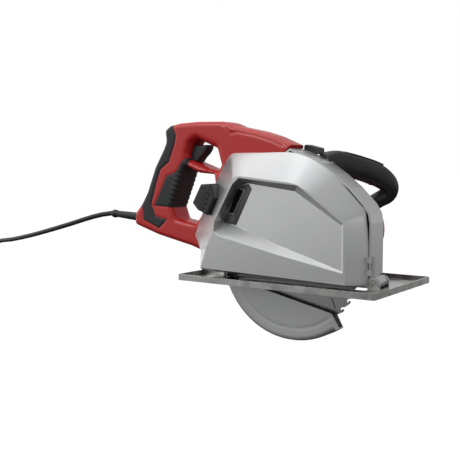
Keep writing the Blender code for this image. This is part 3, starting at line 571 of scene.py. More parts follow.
def turned_mesh(name, profile, centre, steps):
    """A closed profile of (radius, Z) turned about an upright line through a point in X and Y."""
    points, faces = [], []
    for k in range(steps):
        angle = 2 * math.pi * k / steps
        points += [(centre[0] + r * math.cos(angle), centre[1] + r * math.sin(angle), z) for r, z in profile]
    count = len(profile)
    for k in range(steps):
        one, two = k * count, (k + 1) % steps * count
        faces += [(one + j, one + j + 1, two + j + 1, two + j) for j in range(count - 1)]
    return mesh_from(name, points, faces)


def box_mesh(low, high):
    """A box between two opposite corners."""
    corners = list(itertools.product(*zip(low, high)))
    faces = [(0, 1, 3, 2), (4, 6, 7, 5), (0, 4, 5, 1), (2, 3, 7, 6), (0, 2, 6, 4), (1, 5, 7, 3)]
    return mesh_from("box", corners, faces)


def face_outwards(mesh):
    """Turn every face of the open cover skin to look away from the blade."""
    with editing(mesh) as work:
        work.normal_update()
        bmesh.ops.reverse_faces(work, faces=[f for f in work.faces if f.normal.y > 0])


def eased(at, stops):
    """A value read between stops, changing smoothly and level beyond them."""
    for (a, one), (b, two) in zip(stops, stops[1:]):
        if at <= b:
            share = max(0, (at - a) / (b - a))
            return one + (two - one) * share * share * (3 - 2 * share)
    return stops[-1][1]


def dip(distance, depth, width):
    """The depth of a soft groove at each distance from its middle."""
    return depth * np.exp(-(distance / width) ** 2)


def round_section(wide, high, count, power):
    """A section between an ellipse and a rectangle: the higher the power, the squarer."""
    made = []
    for k in range(count):
        angle = 2 * math.pi * k / count
        c, s = math.cos(angle), math.sin(angle)
        made.append((wide * math.copysign(abs(c) ** (2 / power), c),
                     high * math.copysign(abs(s) ** (2 / power), s)))
    return made


def coil_path():
    """Five turns in two layers. Each turn steps in, climbs or steps out where its neighbours leave room."""
    points = [Vector(COIL_START)]
    for turn in range(0, 1890, 18):
        radius = eased(turn, COIL_RADII)
        angle = math.radians(-90 - turn)
        height = FLOOR_Z + CORD_RADIUS + eased(turn, COIL_HEIGHTS)
        points.append(Vector((COIL_CENTRE[0] + radius * math.cos(angle),
                              COIL_CENTRE[1] + radius * math.sin(angle), height)))
    return points


def panel_y(x):
    """The recessed panel's Y: it leans from the face at the front to its deepest at the rear."""
    return COVER_FACE + PANEL_SETBACK + RECESS_SLOPE * (RECESS_FRONT - x)


def standing(outline, y):
    """An outline's points with their Y, given as a number or as a function of X."""
    return [(x, y(x) if callable(y) else y, z) for x, z in outline]


def add_band(points, faces, one, two):
    """Add a strip of four-sided faces between two rings of as many points."""
    first, count = len(points), len(one)
    points += one + two
    for k in range(count):
        after = (k + 1) % count
        faces.append((first + k, first + after, first + count + after, first + count + k))


def add_sheet(points, faces, spots, triangles):
    """Add triangles with their own points."""
    first = len(points)
    points += spots
    faces += [tuple(first + v for v in t) for t in triangles]


def set_inputs(node, values):
    """Set the values of a node's sockets by name."""
    for name, value in values.items():
        node.inputs[name].default_value = value


def wire(tree, *rows):
    """Link nodes, each row a node and its output, then a node and its input."""
    for source, output, target, socket in rows:
        tree.links.new(source.outputs[output], target.inputs[socket])


# ---------------------------------------------------------------- geometry nodes for what repeats
def bars_along_line():
    """Rounded bars set square across a line: named inputs give their count and size."""
    tree = bpy.data.node_groups.get("Bars along line")
    if tree:
        return tree
    tree = bpy.data.node_groups.new("Bars along line", "GeometryNodeTree")
    face = tree.interface
    face.new_socket("Geometry", in_out="INPUT", socket_type="NodeSocketGeometry")
    for name, kind, value in (("Count", "NodeSocketInt", 5), ("Length", "NodeSocketFloat", 0.01),
                              ("Width", "NodeSocketFloat", 0.001), ("Height", "NodeSocketFloat", 0.001),
                              ("Lean", "NodeSocketFloat", 0.0), ("Material", "NodeSocketMaterial", None)):
        socket = face.new_socket(name, in_out="INPUT", socket_type=kind)
        if value is not None:
            socket.default_value = value
    face.new_socket("Geometry", in_out="OUTPUT", socket_type="NodeSocketGeometry")
    nodes = tree.nodes
    start, end = nodes.new("NodeGroupInput"), nodes.new("NodeGroupOutput")
    curve = nodes.new("GeometryNodeMeshToCurve")
    spread = nodes.new("GeometryNodeResampleCurve")
    spread.mode = "COUNT"
    to_points = nodes.new("GeometryNodeCurveToPoints")
    to_points.mode = "EVALUATED"
    size = nodes.new("ShaderNodeCombineXYZ")
    bar = nodes.new("GeometryNodeMeshCube")
    lean = nodes.new("FunctionNodeRotateRotation")
    lean.rotation_space = "LOCAL"
    turn = nodes.new("FunctionNodeAxisAngleToRotation")
    set_inputs(turn, {"Axis": (0, 1, 0)})
    tangent = nodes.new("GeometryNodeInputTangent")
    basis = nodes.new("FunctionNodeAxesToRotation")
    basis.primary_axis, basis.secondary_axis = "X", "Z"
    upward = nodes.new("GeometryNodeInputNamedAttribute")
    along = nodes.new("GeometryNodeInputNamedAttribute")
    store = nodes.new("GeometryNodeStoreNamedAttribute")
    for node, name in ((upward, "upward"), (along, "along"), (store, "along")):
        node.data_type = "FLOAT_VECTOR"
        node.inputs["Name"].default_value = name
    place = nodes.new("GeometryNodeInstanceOnPoints")
    real = nodes.new("GeometryNodeRealizeInstances")
    paint = nodes.new("GeometryNodeSetMaterial")
    wire(
        tree,
        (start, "Geometry", curve, "Mesh"),
        (curve, "Curve", spread, "Curve"),
        (start, "Count", spread, "Count"),
        (spread, "Curve", store, "Geometry"),
        (tangent, "Tangent", store, "Value"),
        (store, "Geometry", to_points, "Curve"),
        (to_points, "Points", place, "Points"),
        (start, "Width", size, "X"),
        (start, "Length", size, "Y"),
        (start, "Height", size, "Z"),
        (size, "Vector", bar, "Size"),
        (bar, "Mesh", place, "Instance"),
        (along, "Attribute", basis, "Primary Axis"),
        (upward, "Attribute", basis, "Secondary Axis"),
        (start, "Lean", turn, "Angle"),
        (basis, "Rotation", lean, "Rotation"),
        (turn, "Rotation", lean, "Rotate By"),
        (lean, "Rotation", place, "Rotation"),
        (place, "Instances", real, "Geometry"),
        (real, "Geometry", paint, "Geometry"),
        (start, "Material", paint, "Material"),
        (paint, "Geometry", end, "Geometry"),
    )
    return tree


def bars(name, line, upward, body, finish, count, size, rounding, lean=0.0):
    """Bars along a line of millimetre points, each standing in the upward direction given at its point."""
    mesh = bpy.data.meshes.new(name)
    mesh.from_pydata([tuple(c * MM for c in p) for p in line], [(k, k + 1) for k in range(len(line) - 1)], [])
    directions = mesh.attributes.new("upward", "FLOAT_VECTOR", "POINT")
    directions.data.foreach_set("vector", np.array([tuple(d) for d in upward], np.float32).ravel())
    obj = bpy.data.objects.new(name, mesh)
    bpy.context.scene.collection.objects.link(obj)
    step = obj.modifiers.new("bars", "NODES")
    step.node_group = bars_along_line()
    values = {"Count": count, "Lean": math.radians(lean), "Material": finished(finish)}
    values.update(zip(("Length", "Width", "Height"), (c * MM for c in size)))
    for socket in step.node_group.interface.items_tree:
        if socket.item_type == "SOCKET" and socket.in_out == "INPUT" and socket.name in values:
            step[socket.identifier] = values[socket.name]
    made = bevelled(evaluated(obj, name), rounding, 30, 2)
    return new_piece(name, made, body, finish)


# ---------------------------------------------------------------- materials
def shader_group(name, inputs, outputs):
    """An empty shader group with named sockets, and its input and output nodes."""
    tree = bpy.data.node_groups.new(name, "ShaderNodeTree")
    for label, kind, value in inputs:
        tree.interface.new_socket(label, in_out="INPUT", socket_type=kind).default_value = value
    for label, kind in outputs:
        tree.interface.new_socket(label, in_out="OUTPUT", socket_type=kind)
    return tree, tree.nodes.new("NodeGroupInput"), tree.nodes.new("NodeGroupOutput")


def grain_group():
    """Soft shade changes and a fine height, both in object space."""
    tree = bpy.data.node_groups.get("Surface grain")
    if tree:
        return tree
    tree, start, end = shader_group(
        "Surface grain",
        [("Cloud scale", "NodeSocketFloat", 12.0), ("Grain scale", "NodeSocketFloat", 900.0),
         ("Stretch", "NodeSocketVector", (1.0, 1.0, 1.0)), ("Fleck", "NodeSocketFloat", 0.0)],
        [("Cloud", "NodeSocketFloat"), ("Height", "NodeSocketFloat"), ("Wear", "NodeSocketFloat")])
    where = tree.nodes.new("ShaderNodeTexCoord")
    stretch = tree.nodes.new("ShaderNodeVectorMath")
    stretch.operation = "MULTIPLY"
    cloud, fine, wear = (tree.nodes.new("ShaderNodeTexNoise") for _ in range(3))
    set_inputs(cloud, {"Detail": 4.0})
    set_inputs(fine, {"Detail": 2.0})
    set_inputs(wear, {"Detail": 6.0, "Scale": 70.0})
    mask = tree.nodes.new("ShaderNodeMapRange")
    set_inputs(mask, {"From Min": 0.62, "From Max": 0.72})
    fleck = tree.nodes.new("ShaderNodeMath")
    fleck.operation = "MULTIPLY"
    wire(
        tree,
        (where, "Object", cloud, "Vector"),
        (where, "Object", stretch, 0),
        (start, "Stretch", stretch, 1),
        (stretch, "Vector", fine, "Vector"),
        (where, "Object", wear, "Vector"),
        (start, "Cloud scale", cloud, "Scale"),
        (start, "Grain scale", fine, "Scale"),
        (cloud, "Fac", end, "Cloud"),
        (fine, "Fac", end, "Height"),
        (wear, "Fac", mask, "Value"),
        (mask, "Result", fleck, 0),
        (start, "Fleck", fleck, 1),
        (fleck, "Value", end, "Wear"),
    )
    return tree


def new_finish(name, colour, roughness, metallic=0.0, cloud=12.0, grain=900.0, stretch=(1, 1, 1), tone=0.12,
               spread=0.06, bump=0.1, depth=0.00005, fleck=0.0, coat=0.0):
    """A procedural material: cloudy tone and gloss, fine grain in its bump, and small worn flecks."""
    made = bpy.data.materials.new(name)
    made.use_nodes = True
    nodes = made.node_tree.nodes
    shader = nodes["Principled BSDF"]
    set_inputs(shader, {"Metallic": metallic, "Coat Weight": coat, "Coat Roughness": 0.25})
    surface = nodes.new("ShaderNodeGroup")
    surface.node_tree = grain_group()
    set_inputs(surface, {"Cloud scale": cloud, "Grain scale": grain, "Stretch": stretch, "Fleck": fleck})
    shade, worn = nodes.new("ShaderNodeMix"), nodes.new("ShaderNodeMix")
    shade.data_type = worn.data_type = "RGBA"
    set_inputs(shade, {"A": (*[c * (1 - tone) for c in colour], 1),
                       "B": (*[min(1, c * (1 + tone)) for c in colour], 1)})
    set_inputs(worn, {"B": (*[min(1, c * 1.5 + 0.03) for c in colour], 1)})
    gloss = nodes.new("ShaderNodeMapRange")
    set_inputs(gloss, {"From Min": 0.3, "From Max": 0.7, "To Min": max(0.02, roughness - spread),
                       "To Max": min(1.0, roughness + spread)})
    fine_bump = nodes.new("ShaderNodeBump")
    set_inputs(fine_bump, {"Strength": bump, "Distance": depth})
    wire(
        made.node_tree,
        (surface, "Cloud", shade, "Factor"),
        (shade, "Result", worn, "A"),
        (surface, "Wear", worn, "Factor"),
        (worn, "Result", shader, "Base Color"),
        (surface, "Cloud", gloss, "Value"),
        (gloss, "Result", shader, "Roughness"),
        (surface, "Height", fine_bump, "Height"),
        (fine_bump, "Normal", shader, "Normal"),
    )
    made.diffuse_color = (*colour, 1)
    return made


FINISHES = {            # a colour, or the name of a user's colour, with roughness and further values
    "red_nylon": ("housing", 0.36, dict(grain=1400, bump=0.25, depth=0.00012, tone=0.05, coat=0.12, cloud=9)),
    "soft_rubber": ("rubber", 0.62, dict(grain=1500, bump=0.5, depth=0.00015, tone=0.18, cloud=20,
                                         spread=0.1)),
    "black_nylon": ("plastic", 0.42, dict(grain=1300, bump=0.3, depth=0.0001)),
    "cast_silver": ("cast", 0.31, dict(metallic=0.9, grain=1600, bump=0.12, depth=0.00008, tone=0.03,
                                       cloud=14, spread=0.04)),
    "guard_grey": ("guard", 0.5, dict(metallic=0.75, grain=1500, bump=0.15, depth=0.00008, tone=0.03)),
    # dark grey on the window frame: painted shade and painted dark reflection standing in for the cast
    # cover's surface there
    "undercut_grey": ((0.13, 0.132, 0.135), 0.45, dict(metallic=0.5, grain=1500, bump=0.15, tone=0.06)),
    "plated_steel": ((0.56, 0.56, 0.55), 0.24, dict(metallic=1.0, grain=260, stretch=(0.04, 1, 1), tone=0.4,
                                                    spread=0.14, bump=0.3, depth=0.00008, cloud=48,
                                                    fleck=0.4)),
    "plain_steel": ((0.52, 0.52, 0.52), 0.3, dict(metallic=1.0, grain=700, tone=0.1, bump=0.15)),
    "dark_steel": ((0.17, 0.17, 0.18), 0.4, dict(metallic=1.0, grain=600, tone=0.15, bump=0.2)),
    "blade_steel": ("blade", 0.3, dict(metallic=1.0, grain=420, stretch=(1, 0.2, 1), spread=0.08, bump=0.2,
                                       depth=0.00004)),
    # near black for the blade's slots: painted shade of the openings seen through the blade
    "blade_slot_black": ((0.012, 0.012, 0.013), 0.6, dict(tone=0.2)),
    "carbide": ((0.25, 0.25, 0.26), 0.35, dict(metallic=0.9, tone=0.1)),
    "brass": ((0.72, 0.5, 0.2), 0.25, dict(metallic=1.0, grain=500, tone=0.1)),
    "copper": ((0.6, 0.26, 0.12), 0.35, dict(metallic=1.0, grain=400, stretch=(1, 0.1, 1), tone=0.2,
                                             bump=0.4)),
    "carbon": ((0.03, 0.03, 0.03), 0.7, dict(tone=0.2, bump=0.3)),
    # opaque near-black lens: its colour is painted shade of the dark hollow seen through the window
    "smoked_lens": ((0.004, 0.004, 0.005), 0.12, dict(tone=0.1, spread=0.03, bump=0.02, coat=0.3)),
    "cord_jacket": ((0.014, 0.014, 0.015), 0.5, dict(grain=1200, tone=0.15, bump=0.3, depth=0.0001)),
}
NODE_FINISHES = {
    "plain_steel": "pivot_pin guard_spring arbor_shaft arbor_bearing_front arbor_bearing_rear inner_flange "
                   "outer_flange driven_gear armature_shaft armature_bearing_front armature_bearing_rear "
                   "door_hinge_pin depth_stud",
    "dark_steel": "blade_bolt pinion field_stator handle_screw_1 handle_screw_2 handle_screw_3 "
                  "handle_screw_4 cap_screw_1 cap_screw_2",
    "blade_steel": "blade",
    "cast_silver": "gear_cover",
    "black_nylon": "brush_cap_a brush_cap_b cooling_fan switch_module",
    "copper": "armature_core commutator",
    "carbon": "carbon_brush_a carbon_brush_b",
    "brass": "plug_pin_1 plug_pin_2",
    "cord_jacket": "strain_relief",
}
MADE = {}


def finished(name):
    """The material of a named finish, made when it is first asked for."""
    if name not in MADE:
        colour, roughness, values = FINISHES[name]
        if isinstance(colour, str):
            colour = tuple(getattr(bpy.context.scene.saw_colours, colour))
        MADE[name] = new_finish(name, colour, roughness, **values)
    return MADE[name]


# ---------------------------------------------------------------- operators
class SAW_OT_finishes(bpy.types.Operator):
    """Give the CAD nodes that stay in view their finishes."""
    bl_idname = "saw.finishes"
    bl_label = "Finishes of CAD nodes"

    def execute(self, context):
        for finish, nodes in NODE_FINISHES.items():
            for node in nodes.split():
                mesh = frame["nodes"][node].data
                mesh.materials.clear()
                mesh.materials.append(finished(finish))
        return {"FINISHED"}


class SAW_OT_cord(bpy.types.Operator):
    """Lay the mains cord, its coil and its plug."""
    bl_idname = "saw.cord"
    bl_label = "Mains cord"

    def execute(self, context):
        run, tail = smooth_path(CORD_ROUTE, 22)[:-1], smooth_path(TAIL_ROUTE, 9)
        path = [Vector(RELIEF_END), *run, *coil_path(), *tail]
        curve = bpy.data.curves.new("mains_cord", "CURVE")
        curve.dimensions = "3D"
        curve.bevel_depth = CORD_RADIUS * MM
        curve.bevel_resolution = 4
        curve.use_fill_caps = True
        spline = curve.splines.new("POLY")
        spline.points.add(len(path) - 1)
        for point, spot in zip(spline.points, path):
            point.co = (*(spot * MM), 1)
        curve.materials.append(finished("cord_jacket"))
        cord = bpy.data.objects.new("mains_cord", curve)
        bpy.context.scene.collection.objects.link(cord)
        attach(cord, "saw_body")
        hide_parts("cord", "cord_coil", "cord_tail")
        plug = softened("plug_body", "plug_shell", "cord_jacket", 1.2, "cord_rubber")
        return {"FINISHED"}


class SAW_OT_cover(bpy.types.Operator):
    """Build the hinged chip cover with its recessed panel, ledge and window frame."""
    bl_idname = "saw.cover"
    bl_label = "Blade cover"

    def execute(self, context):
        rear_edge = curved(inset(COVER_REAR_EDGE, -COVER_LIP), *COVER_CURVED, 4)
        face_edge = curved(COVER_FACE_EDGE, *COVER_CURVED, 4)
        points, faces = [], []
        add_band(points, faces, standing(rear_edge, COVER_BACK), standing(face_edge, COVER_FACE))
        spots, triangles = flat_skin(face_edge, [RECESS_EDGE], fill=False)
        add_sheet(points, faces, standing(spots, COVER_FACE), triangles)
        add_band(points, faces, standing(RECESS_EDGE, COVER_FACE), standing(PANEL_EDGE, panel_y))
        spots, triangles = flat_skin(PANEL_EDGE, [inset(WINDOW_EDGE, 0.6)], fill=False)
        add_sheet(points, faces, standing(spots, panel_y), triangles)
        mesh = mesh_from("cover_shell", points, faces, recalculate=False)
        face_outwards(mesh)
        mesh.shade_smooth()
        mesh = with_modifiers(
            mesh,
            ("SOLIDIFY", {"thickness": COVER_WALL * MM, "offset": -1, "use_quality_normals": True,
                          "use_rim": True}),
            ("BEVEL", {"width": context.scene.saw_shapes.cover_round, "segments": 3, "limit_method": "ANGLE",
                       "angle_limit": math.radians(14), "use_clamp_overlap": True, "harden_normals": True}))
        new_piece("cover_shell", mesh, "chip_door", "cast_silver", ["chip_door"],
                  sharp=None)
        bezel_edge = inset(WINDOW_EDGE, -1.0)
        # the window frame is cast like the cover; its dark grey is painted shade and painted dark reflection
        self.plate("window_frame", FRAME_EDGE, bezel_edge, -1.0, 1.2, "undercut_grey")
        self.plate("window_bezel", bezel_edge, WINDOW_EDGE, -0.4, 2.4, "cast_silver")
        spots, triangles = flat_skin(inset(WINDOW_EDGE, -0.3), fill=False)
        depth = panel_y(spots[:, 0])
        lens = relief("lens", spots, triangles, depth + 1.3, depth + 3.0)
        # the lens is opaque and near black: painted shade of the hollow behind the window
        new_piece("window_lens", lens, "chip_door", "smoked_lens", ["chip_window"],
                  sharp=None)
        self.hinge()
        return {"FINISHED"}

    def plate(self, name, edge, hole, front, back, finish):
        """A flat frame lying on the recessed panel."""
        spots, triangles = flat_skin(edge, [hole], fill=False)
        depth = panel_y(spots[:, 0])
        mesh = bevelled(relief(name, spots, triangles, depth + front, depth + back), 0.35, 30, 2)
        new_piece(name, mesh, "chip_door", finish)

    def hinge(self):
        """Two barrels on the pin, each on its leaf."""
        x, y = HINGE_LINE
        bore, outer = KNUCKLE_RADII
        parts = []
        for low in KNUCKLE_FEET:
            high = low + KNUCKLE_HEIGHT
            ring = [(bore, low), (outer, low), (outer, high), (bore, high), (bore, low)]
            parts.append(turned_mesh("barrel", ring, HINGE_LINE, 24))
            parts.append(box_mesh((x - 11, y - 5.5, low), (x - 0.5, y - 2.6, high)))
            parts.append(box_mesh((x - 1.4, y - 4, low), (x, y - 1.5, high)))
        new_piece("cover_hinge", joined(parts, "cover_hinge"), "chip_door", "cast_silver")


class SAW_OT_handle(bpy.types.Operator):
    """Build the rear handle: red shell, rubber grips, scoop round the trigger and the shoulder lines."""
    bl_idname = "saw.handle"
    bl_label = "Rear handle"

    def execute(self, context):
        shapes = context.scene.saw_shapes
        step, radius = shapes.skin_step / MM, shapes.handle_round / MM
        free = rounded(HANDLE_EDGE)
        outline = free + [(x - 0.35, z + 0.3) for x, z in CASE_TOP]
        finger, hand = rounded(FINGER_HOLE), rounded(HAND_HOLE)
        spots, triangles = flat_skin(outline, [finger, hand], [REAR_GRIP, FRONT_GRIP], step, soft=True)
        to_free = distance_to(spots, free, closed=False)
        to_finger, to_hand = distance_to(spots, finger), distance_to(spots, hand)
        edge = np.minimum(np.minimum(to_free, to_finger), to_hand)
        close = np.clip(edge, 0, radius)
        half = SHELL_HALF - radius + np.sqrt(radius ** 2 - (radius - close) ** 2)
        half -= SCOOP_DEPTH * np.clip(1 - to_finger / SCOOP_REACH, 0, 1) ** 2
        for line, depth, width in ((TOP_GROOVE, 1.3, 2.0), (TOP_CREASE, 0.9, 1.6)):
            half -= dip(distance_to(spots, line, closed=False), depth, width)
        middle = spots[triangles].mean(axis=1)
        rear, front = inside(middle, REAR_GRIP), inside(middle, FRONT_GRIP)
        to_rear, to_front = distance_to(spots, REAR_GRIP), distance_to(spots, FRONT_GRIP)
        along = (spots - np.array(RIB_FOOT)) @ np.array(RIB_WAY)
        ribs = shapes.rib_height / MM * np.cos(along / RIB_PITCH * 2 * math.pi)
        ribs *= dip(to_hand, 1, RIB_REACH) * np.clip((along + 4) / 4, 0, 1)
        for name, zone, finish, slot, nodes, proud in (
            ("handle_red_shell", ~(rear | front), "red_nylon", "red_housing",
             ["handle_shell_near", "handle_shell_far"], -dip(np.minimum(to_rear, to_front), *SHELL_SEAM)),
            ("handle_rear_rubber", rear, "soft_rubber", "rubber_grip", ["rear_grip"],
             GRIP_PROUD - dip(to_rear, *GRIP_SEAM)),
            ("handle_front_rubber", front, "soft_rubber", "rubber_grip", ["front_grip"],
             GRIP_PROUD - dip(to_front, *GRIP_SEAM) + ribs),
        ):
            thick = half + proud
            mesh = relief(name, spots, triangles[zone], SPLIT_Y - thick, SPLIT_Y + thick)
            new_piece(name, mesh, "saw_body", finish, nodes, sharp=50)
        return {"FINISHED"}


class SAW_OT_front_handle(bpy.types.Operator):
    """Build the front handle: moulded core, ribbed sleeve with its long raised panel and slits."""
    bl_idname = "saw.front_handle"
    bl_label = "Front handle"

    def execute(self, context):
        path = smooth_path(FRONT_ROUTE, 3)
        last = len(path) - 1
        sections = [round_section(eased(k / last, FRONT_WIDTHS), eased(k / last, FRONT_HEIGHTS), 40, 2.6)
                    for k in range(last + 1)]
        mesh = swept("front_handle_moulding", path, sections)
        new_piece("front_handle_moulding", mesh, "saw_body", "black_nylon",
                  ["front_handle", "front_handle_grip"], sharp=50)
        start, end = (round(share * last) for share in PANEL_RUN)
        long_run = frames_along(path)[start:end]
        ridge = [point + up * PANEL_RISE for point, _, up in long_run]
        panel = swept("front_handle_panel", ridge, [round_section(6.6, 1.5, 20, 3.5)] * len(ridge))
        new_piece("front_handle_panel", panel, "saw_body", "soft_rubber", sharp=50)
        under = [tuple(point - up * SLIT_DROP) for point, _, up in long_run]
        bars("front_handle_ribs", under, [up for *_, up in long_run], "saw_body", "soft_rubber",
             context.scene.saw_shapes.handle_slits, (17, 1.9, 2.4), 0.4, lean=18)
        return {"FINISHED"}


class SAW_OT_guard(bpy.types.Operator):
    """Build the swinging lower guard: a pressed shell with a rolled rim and an engraved line."""
    bl_idname = "saw.guard"
    bl_label = "Lower guard"

    def execute(self, context):
        lean = math.radians(GUARD_LEAN)
        along = Vector((math.cos(lean), math.sin(lean)))
        across = Vector((-along.y, along.x))
        chord = Vector(ARBOR) - across * GUARD_CHORD
        window = [tuple(chord + along * u + across * v) for u, v in GUARD_WINDOW]
        rim = divided(arc(ARBOR, GUARD_RADIUS, *GUARD_SPAN, 90), 2.0, closed=False)
        kept = [p for p, gone in zip(rim, inside(np.array(rim), window)) if not gone]
        spots, triangles = flat_skin(kept + [window[2], window[1]], step=2.6, soft=True)
        edge = np.clip(distance_to(spots, kept, closed=False), 0, GUARD_ROUND)
        near = GUARD_Y[0] + GUARD_ROUND - np.sqrt(GUARD_ROUND ** 2 - (GUARD_ROUND - edge) ** 2)
        line_in, line_height, line_width = GUARD_LINE
        from_arbor = np.linalg.norm(spots - np.array(ARBOR), axis=1)
        near += dip(from_arbor - GUARD_RADIUS + line_in, line_height, line_width)
        plate = relief("guard_near", spots, triangles, near, near + GUARD_WALL)
        wall = [*rim, *reversed(arc(ARBOR, GUARD_RADIUS - GUARD_WALL, *GUARD_SPAN, 60))]
        spots, triangles = flat_skin(wall, fill=False)
        strip = relief("guard_rim", spots, triangles, GUARD_Y[0] + GUARD_ROUND, GUARD_Y[1] - 1)
        hub = arc(ARBOR, GUARD_HUB[0], GUARD_SPAN[1] + 20, GUARD_SPAN[0] + 340, 12)
        spots, triangles = flat_skin(rim + hub, [arc(ARBOR, GUARD_HUB[1], 0, 351, 39)], step=6)
        back = relief("guard_back", spots, triangles, GUARD_Y[1] - GUARD_WALL, GUARD_Y[1])
        new_piece("guard_shell", joined([plate, strip, back], "guard_shell"), "lower_guard", "guard_grey",
                  ["lower_guard"], sharp=35)
        return {"FINISHED"}


class SAW_OT_blade(bpy.types.Operator):
    """Tip the blade's teeth, and give it black bars for its slots: painted shade of openings that are not
    cut.
    """
    bl_idname = "saw.blade"
    bl_label = "Blade tips and slots"

    def execute(self, context):
        for name, radius, count, finish, size in BLADE_MARKS:
            turn = 360 * (count - 1) / count
            ring = arc(ARBOR, radius, TOOTH_START, TOOTH_START + turn, 240)
            line = [(x, BLADE_Y, z) for x, z in ring]
            outwards = [(x - ARBOR[0], 0, z - ARBOR[1]) for x, z in ring]
            bars(name, line, outwards, "arbor", finish, count, size, 0.2)
        return {"FINISHED"}


class SAW_OT_small_parts(bpy.types.Operator):
    """Round the edges of the shoe, case, motor and controls, shape the trigger, and show the springs as steel
    copies of their CAD shapes.
    """
    bl_idname = "saw.small_parts"
    bl_label = "Shoe and controls"

    def execute(self, context):
        for row in SOFTENED:
            softened(*row)
        outline = rounded(TRIGGER_EDGE)
        spots, triangles = flat_skin(outline, step=1.3, soft=True)
        edge = np.clip(distance_to(spots, outline), 0, TRIGGER_ROUND)
        half = TRIGGER_HALF - TRIGGER_ROUND + np.sqrt(TRIGGER_ROUND ** 2 - (TRIGGER_ROUND - edge) ** 2)
        mesh = relief("trigger_blade", spots, triangles, SPLIT_Y - half, SPLIT_Y + half)
        new_piece("trigger_blade", mesh, "trigger", "black_nylon", ["trigger"], sharp=50)
        for node, joint, axis, anchor, keep in SPRINGS:
            body = frame["nodes"][node]["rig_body"]
            coil = new_piece(node + "_wire", merged_copy(node), body, "plain_steel", [node])
            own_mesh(coil)
        bars("latch_ribs", LATCH_RIB_LINE, [(0, -1, 0)] * 2, "door_latch", "black_nylon", 4,
             (14, 2.4, 1.8), 0.5)
        return {"FINISHED"}


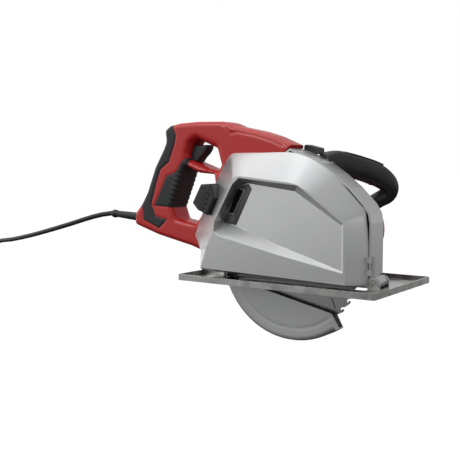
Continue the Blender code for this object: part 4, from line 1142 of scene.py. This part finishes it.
class SAW_OT_stage(bpy.types.Operator):
    """Set up the pale floor, the soft lights and the camera."""
    bl_idname = "saw.stage"
    bl_label = "Floor, lights and camera"

    def execute(self, context):
        self.floor(context.scene)
        self.world(context.scene)
        self.lamps(context.scene)
        self.camera(context.scene)
        context.scene.view_settings.view_transform = "Standard"
        return {"FINISHED"}

    def floor(self, scene):
        """A white floor just under the coil, unseen by reflections and bounced light."""
        mesh = bpy.data.meshes.new("floor")
        corners = [(x, y, FLOOR_Z * MM - FLOOR_GAP) for x, y in FLOOR_CORNERS]
        mesh.from_pydata(corners, [], [(0, 1, 2, 3)])
        floor = bpy.data.objects.new("floor", mesh)
        scene.collection.objects.link(floor)
        pale = bpy.data.materials.new("pale_floor")
        pale.use_nodes = True
        shader = pale.node_tree.nodes["Principled BSDF"]
        set_inputs(shader, {"Base Color": (0, 0, 0, 1), "Roughness": 0.9, "Emission Color": (1, 1, 1, 1),
                            "Emission Strength": 1.0})
        mesh.materials.append(pale)
        floor.visible_glossy = False
        floor.visible_diffuse = False

    def lamps(self, scene):
        """The square lights, each with its share of the key light's power."""
        for name, place, aim, size, share in LAMPS:
            lamp = bpy.data.lights.new(name, "AREA")
            lamp.energy, lamp.size = scene.saw_stage.key * share, size
            obj = bpy.data.objects.new(name, lamp)
            obj.location = place
            obj.rotation_mode = "QUATERNION"
            obj.rotation_quaternion = (Vector(place) - Vector(aim)).to_track_quat("Z", "Y")
            scene.collection.objects.link(obj)

    def camera(self, scene):
        """The camera at its place, turned and raised by its two angles."""
        lens = bpy.data.cameras.new("camera")
        lens.lens, lens.sensor_width = scene.saw_stage.lens, 36
        camera = bpy.data.objects.new("camera", lens)
        turn, rise = math.radians(CAMERA_TURN), math.radians(CAMERA_RISE)
        back = Vector((math.sin(turn) * math.cos(rise), -math.cos(turn) * math.cos(rise), math.sin(rise)))
        camera.location = CAMERA_PLACE
        camera.rotation_mode = "QUATERNION"
        camera.rotation_quaternion = (-back).to_track_quat("-Z", "Y")
        scene.collection.objects.link(camera)
        scene.camera = camera

    def world(self, scene):
        """A studio that is bright above, grey round the horizon and dark below."""
        world = bpy.data.worlds.new("studio")
        world.use_nodes = True
        nodes = world.node_tree.nodes
        nodes.clear()
        where = nodes.new("ShaderNodeTexCoord")
        split = nodes.new("ShaderNodeSeparateXYZ")
        upwards, sideways = self.ramp(nodes, SKY_UPWARDS), self.ramp(nodes, SKY_SIDEWAYS)
        both = nodes.new("ShaderNodeVectorMath")
        both.operation = "MULTIPLY"
        soft, plain = nodes.new("ShaderNodeBackground"), nodes.new("ShaderNodeBackground")
        set_inputs(plain, {"Strength": scene.saw_stage.backdrop, "Color": (1, 1, 1, 1)})
        path = nodes.new("ShaderNodeLightPath")
        pick = nodes.new("ShaderNodeMixShader")
        out = nodes.new("ShaderNodeOutputWorld")
        wire(
            world.node_tree,
            (where, "Generated", split, "Vector"),
            (split, "Z", upwards[0], "Value"),
            (upwards[0], "Result", upwards[1], "Fac"),
            (split, "X", sideways[0], "Value"),
            (sideways[0], "Result", sideways[1], "Fac"),
            (upwards[1], "Color", both, 0),
            (sideways[1], "Color", both, 1),
            (both, "Vector", soft, "Color"),
            (path, "Is Camera Ray", pick, "Fac"),
            (soft, "Background", pick, 1),
            (plain, "Background", pick, 2),
            (pick, "Shader", out, "Surface"),
        )
        scene.world = world

    def ramp(self, nodes, stops):
        """Two nodes: one maps -1..1 to 0..1, the other reads a grey level from the stops."""
        share = nodes.new("ShaderNodeMapRange")
        set_inputs(share, {"From Min": -1})
        levels = nodes.new("ShaderNodeValToRGB")
        elements = levels.color_ramp.elements
        for element, (position, value) in zip(elements, (stops[0], stops[-1])):
            element.position = position
            element.color = (value, value, value, 1)
        for position, value in stops[1:-1]:
            elements.new(position).color = (value, value, value, 1)
        return share, levels


class SAW_PT_panel(bpy.types.Panel):
    """Lists the saw's pieces and settings."""
    bl_label = "Saw"
    bl_idname = "SAW_PT_panel"
    bl_space_type = "VIEW_3D"
    bl_region_type = "UI"
    bl_category = "Saw"

    def draw(self, context):
        for group in (context.scene.saw_colours, context.scene.saw_shapes, context.scene.saw_stage):
            box = self.layout.box()
            for key in group.__annotations__:
                box.prop(group, key)
        for operator in OPERATORS:
            self.layout.operator(operator.bl_idname)


OPERATORS = (
    SAW_OT_finishes, SAW_OT_cord, SAW_OT_cover, SAW_OT_handle, SAW_OT_front_handle, SAW_OT_guard,
    SAW_OT_blade, SAW_OT_small_parts, SAW_OT_stage,
)
GROUPS = (("saw_colours", SawColours), ("saw_shapes", SawShapes), ("saw_stage", SawStage))


def register():
    """Register the settings, the operators and the panel."""
    for key, group in GROUPS:
        bpy.utils.register_class(group)
        setattr(bpy.types.Scene, key, bpy.props.PointerProperty(type=group))
    for operator in OPERATORS:
        bpy.utils.register_class(operator)
    bpy.utils.register_class(SAW_PT_panel)


def unregister():
    """Take everything that register added away."""
    bpy.utils.unregister_class(SAW_PT_panel)
    for operator in reversed(OPERATORS):
        bpy.utils.unregister_class(operator)
    for key, group in reversed(GROUPS):
        delattr(bpy.types.Scene, key)
        bpy.utils.unregister_class(group)


def main():
    """Build every piece in order."""
    register()
    for operator in OPERATORS:
        group, name = operator.bl_idname.split(".")
        getattr(getattr(bpy.ops, group), name)()


if __name__ == "__main__":
    main()
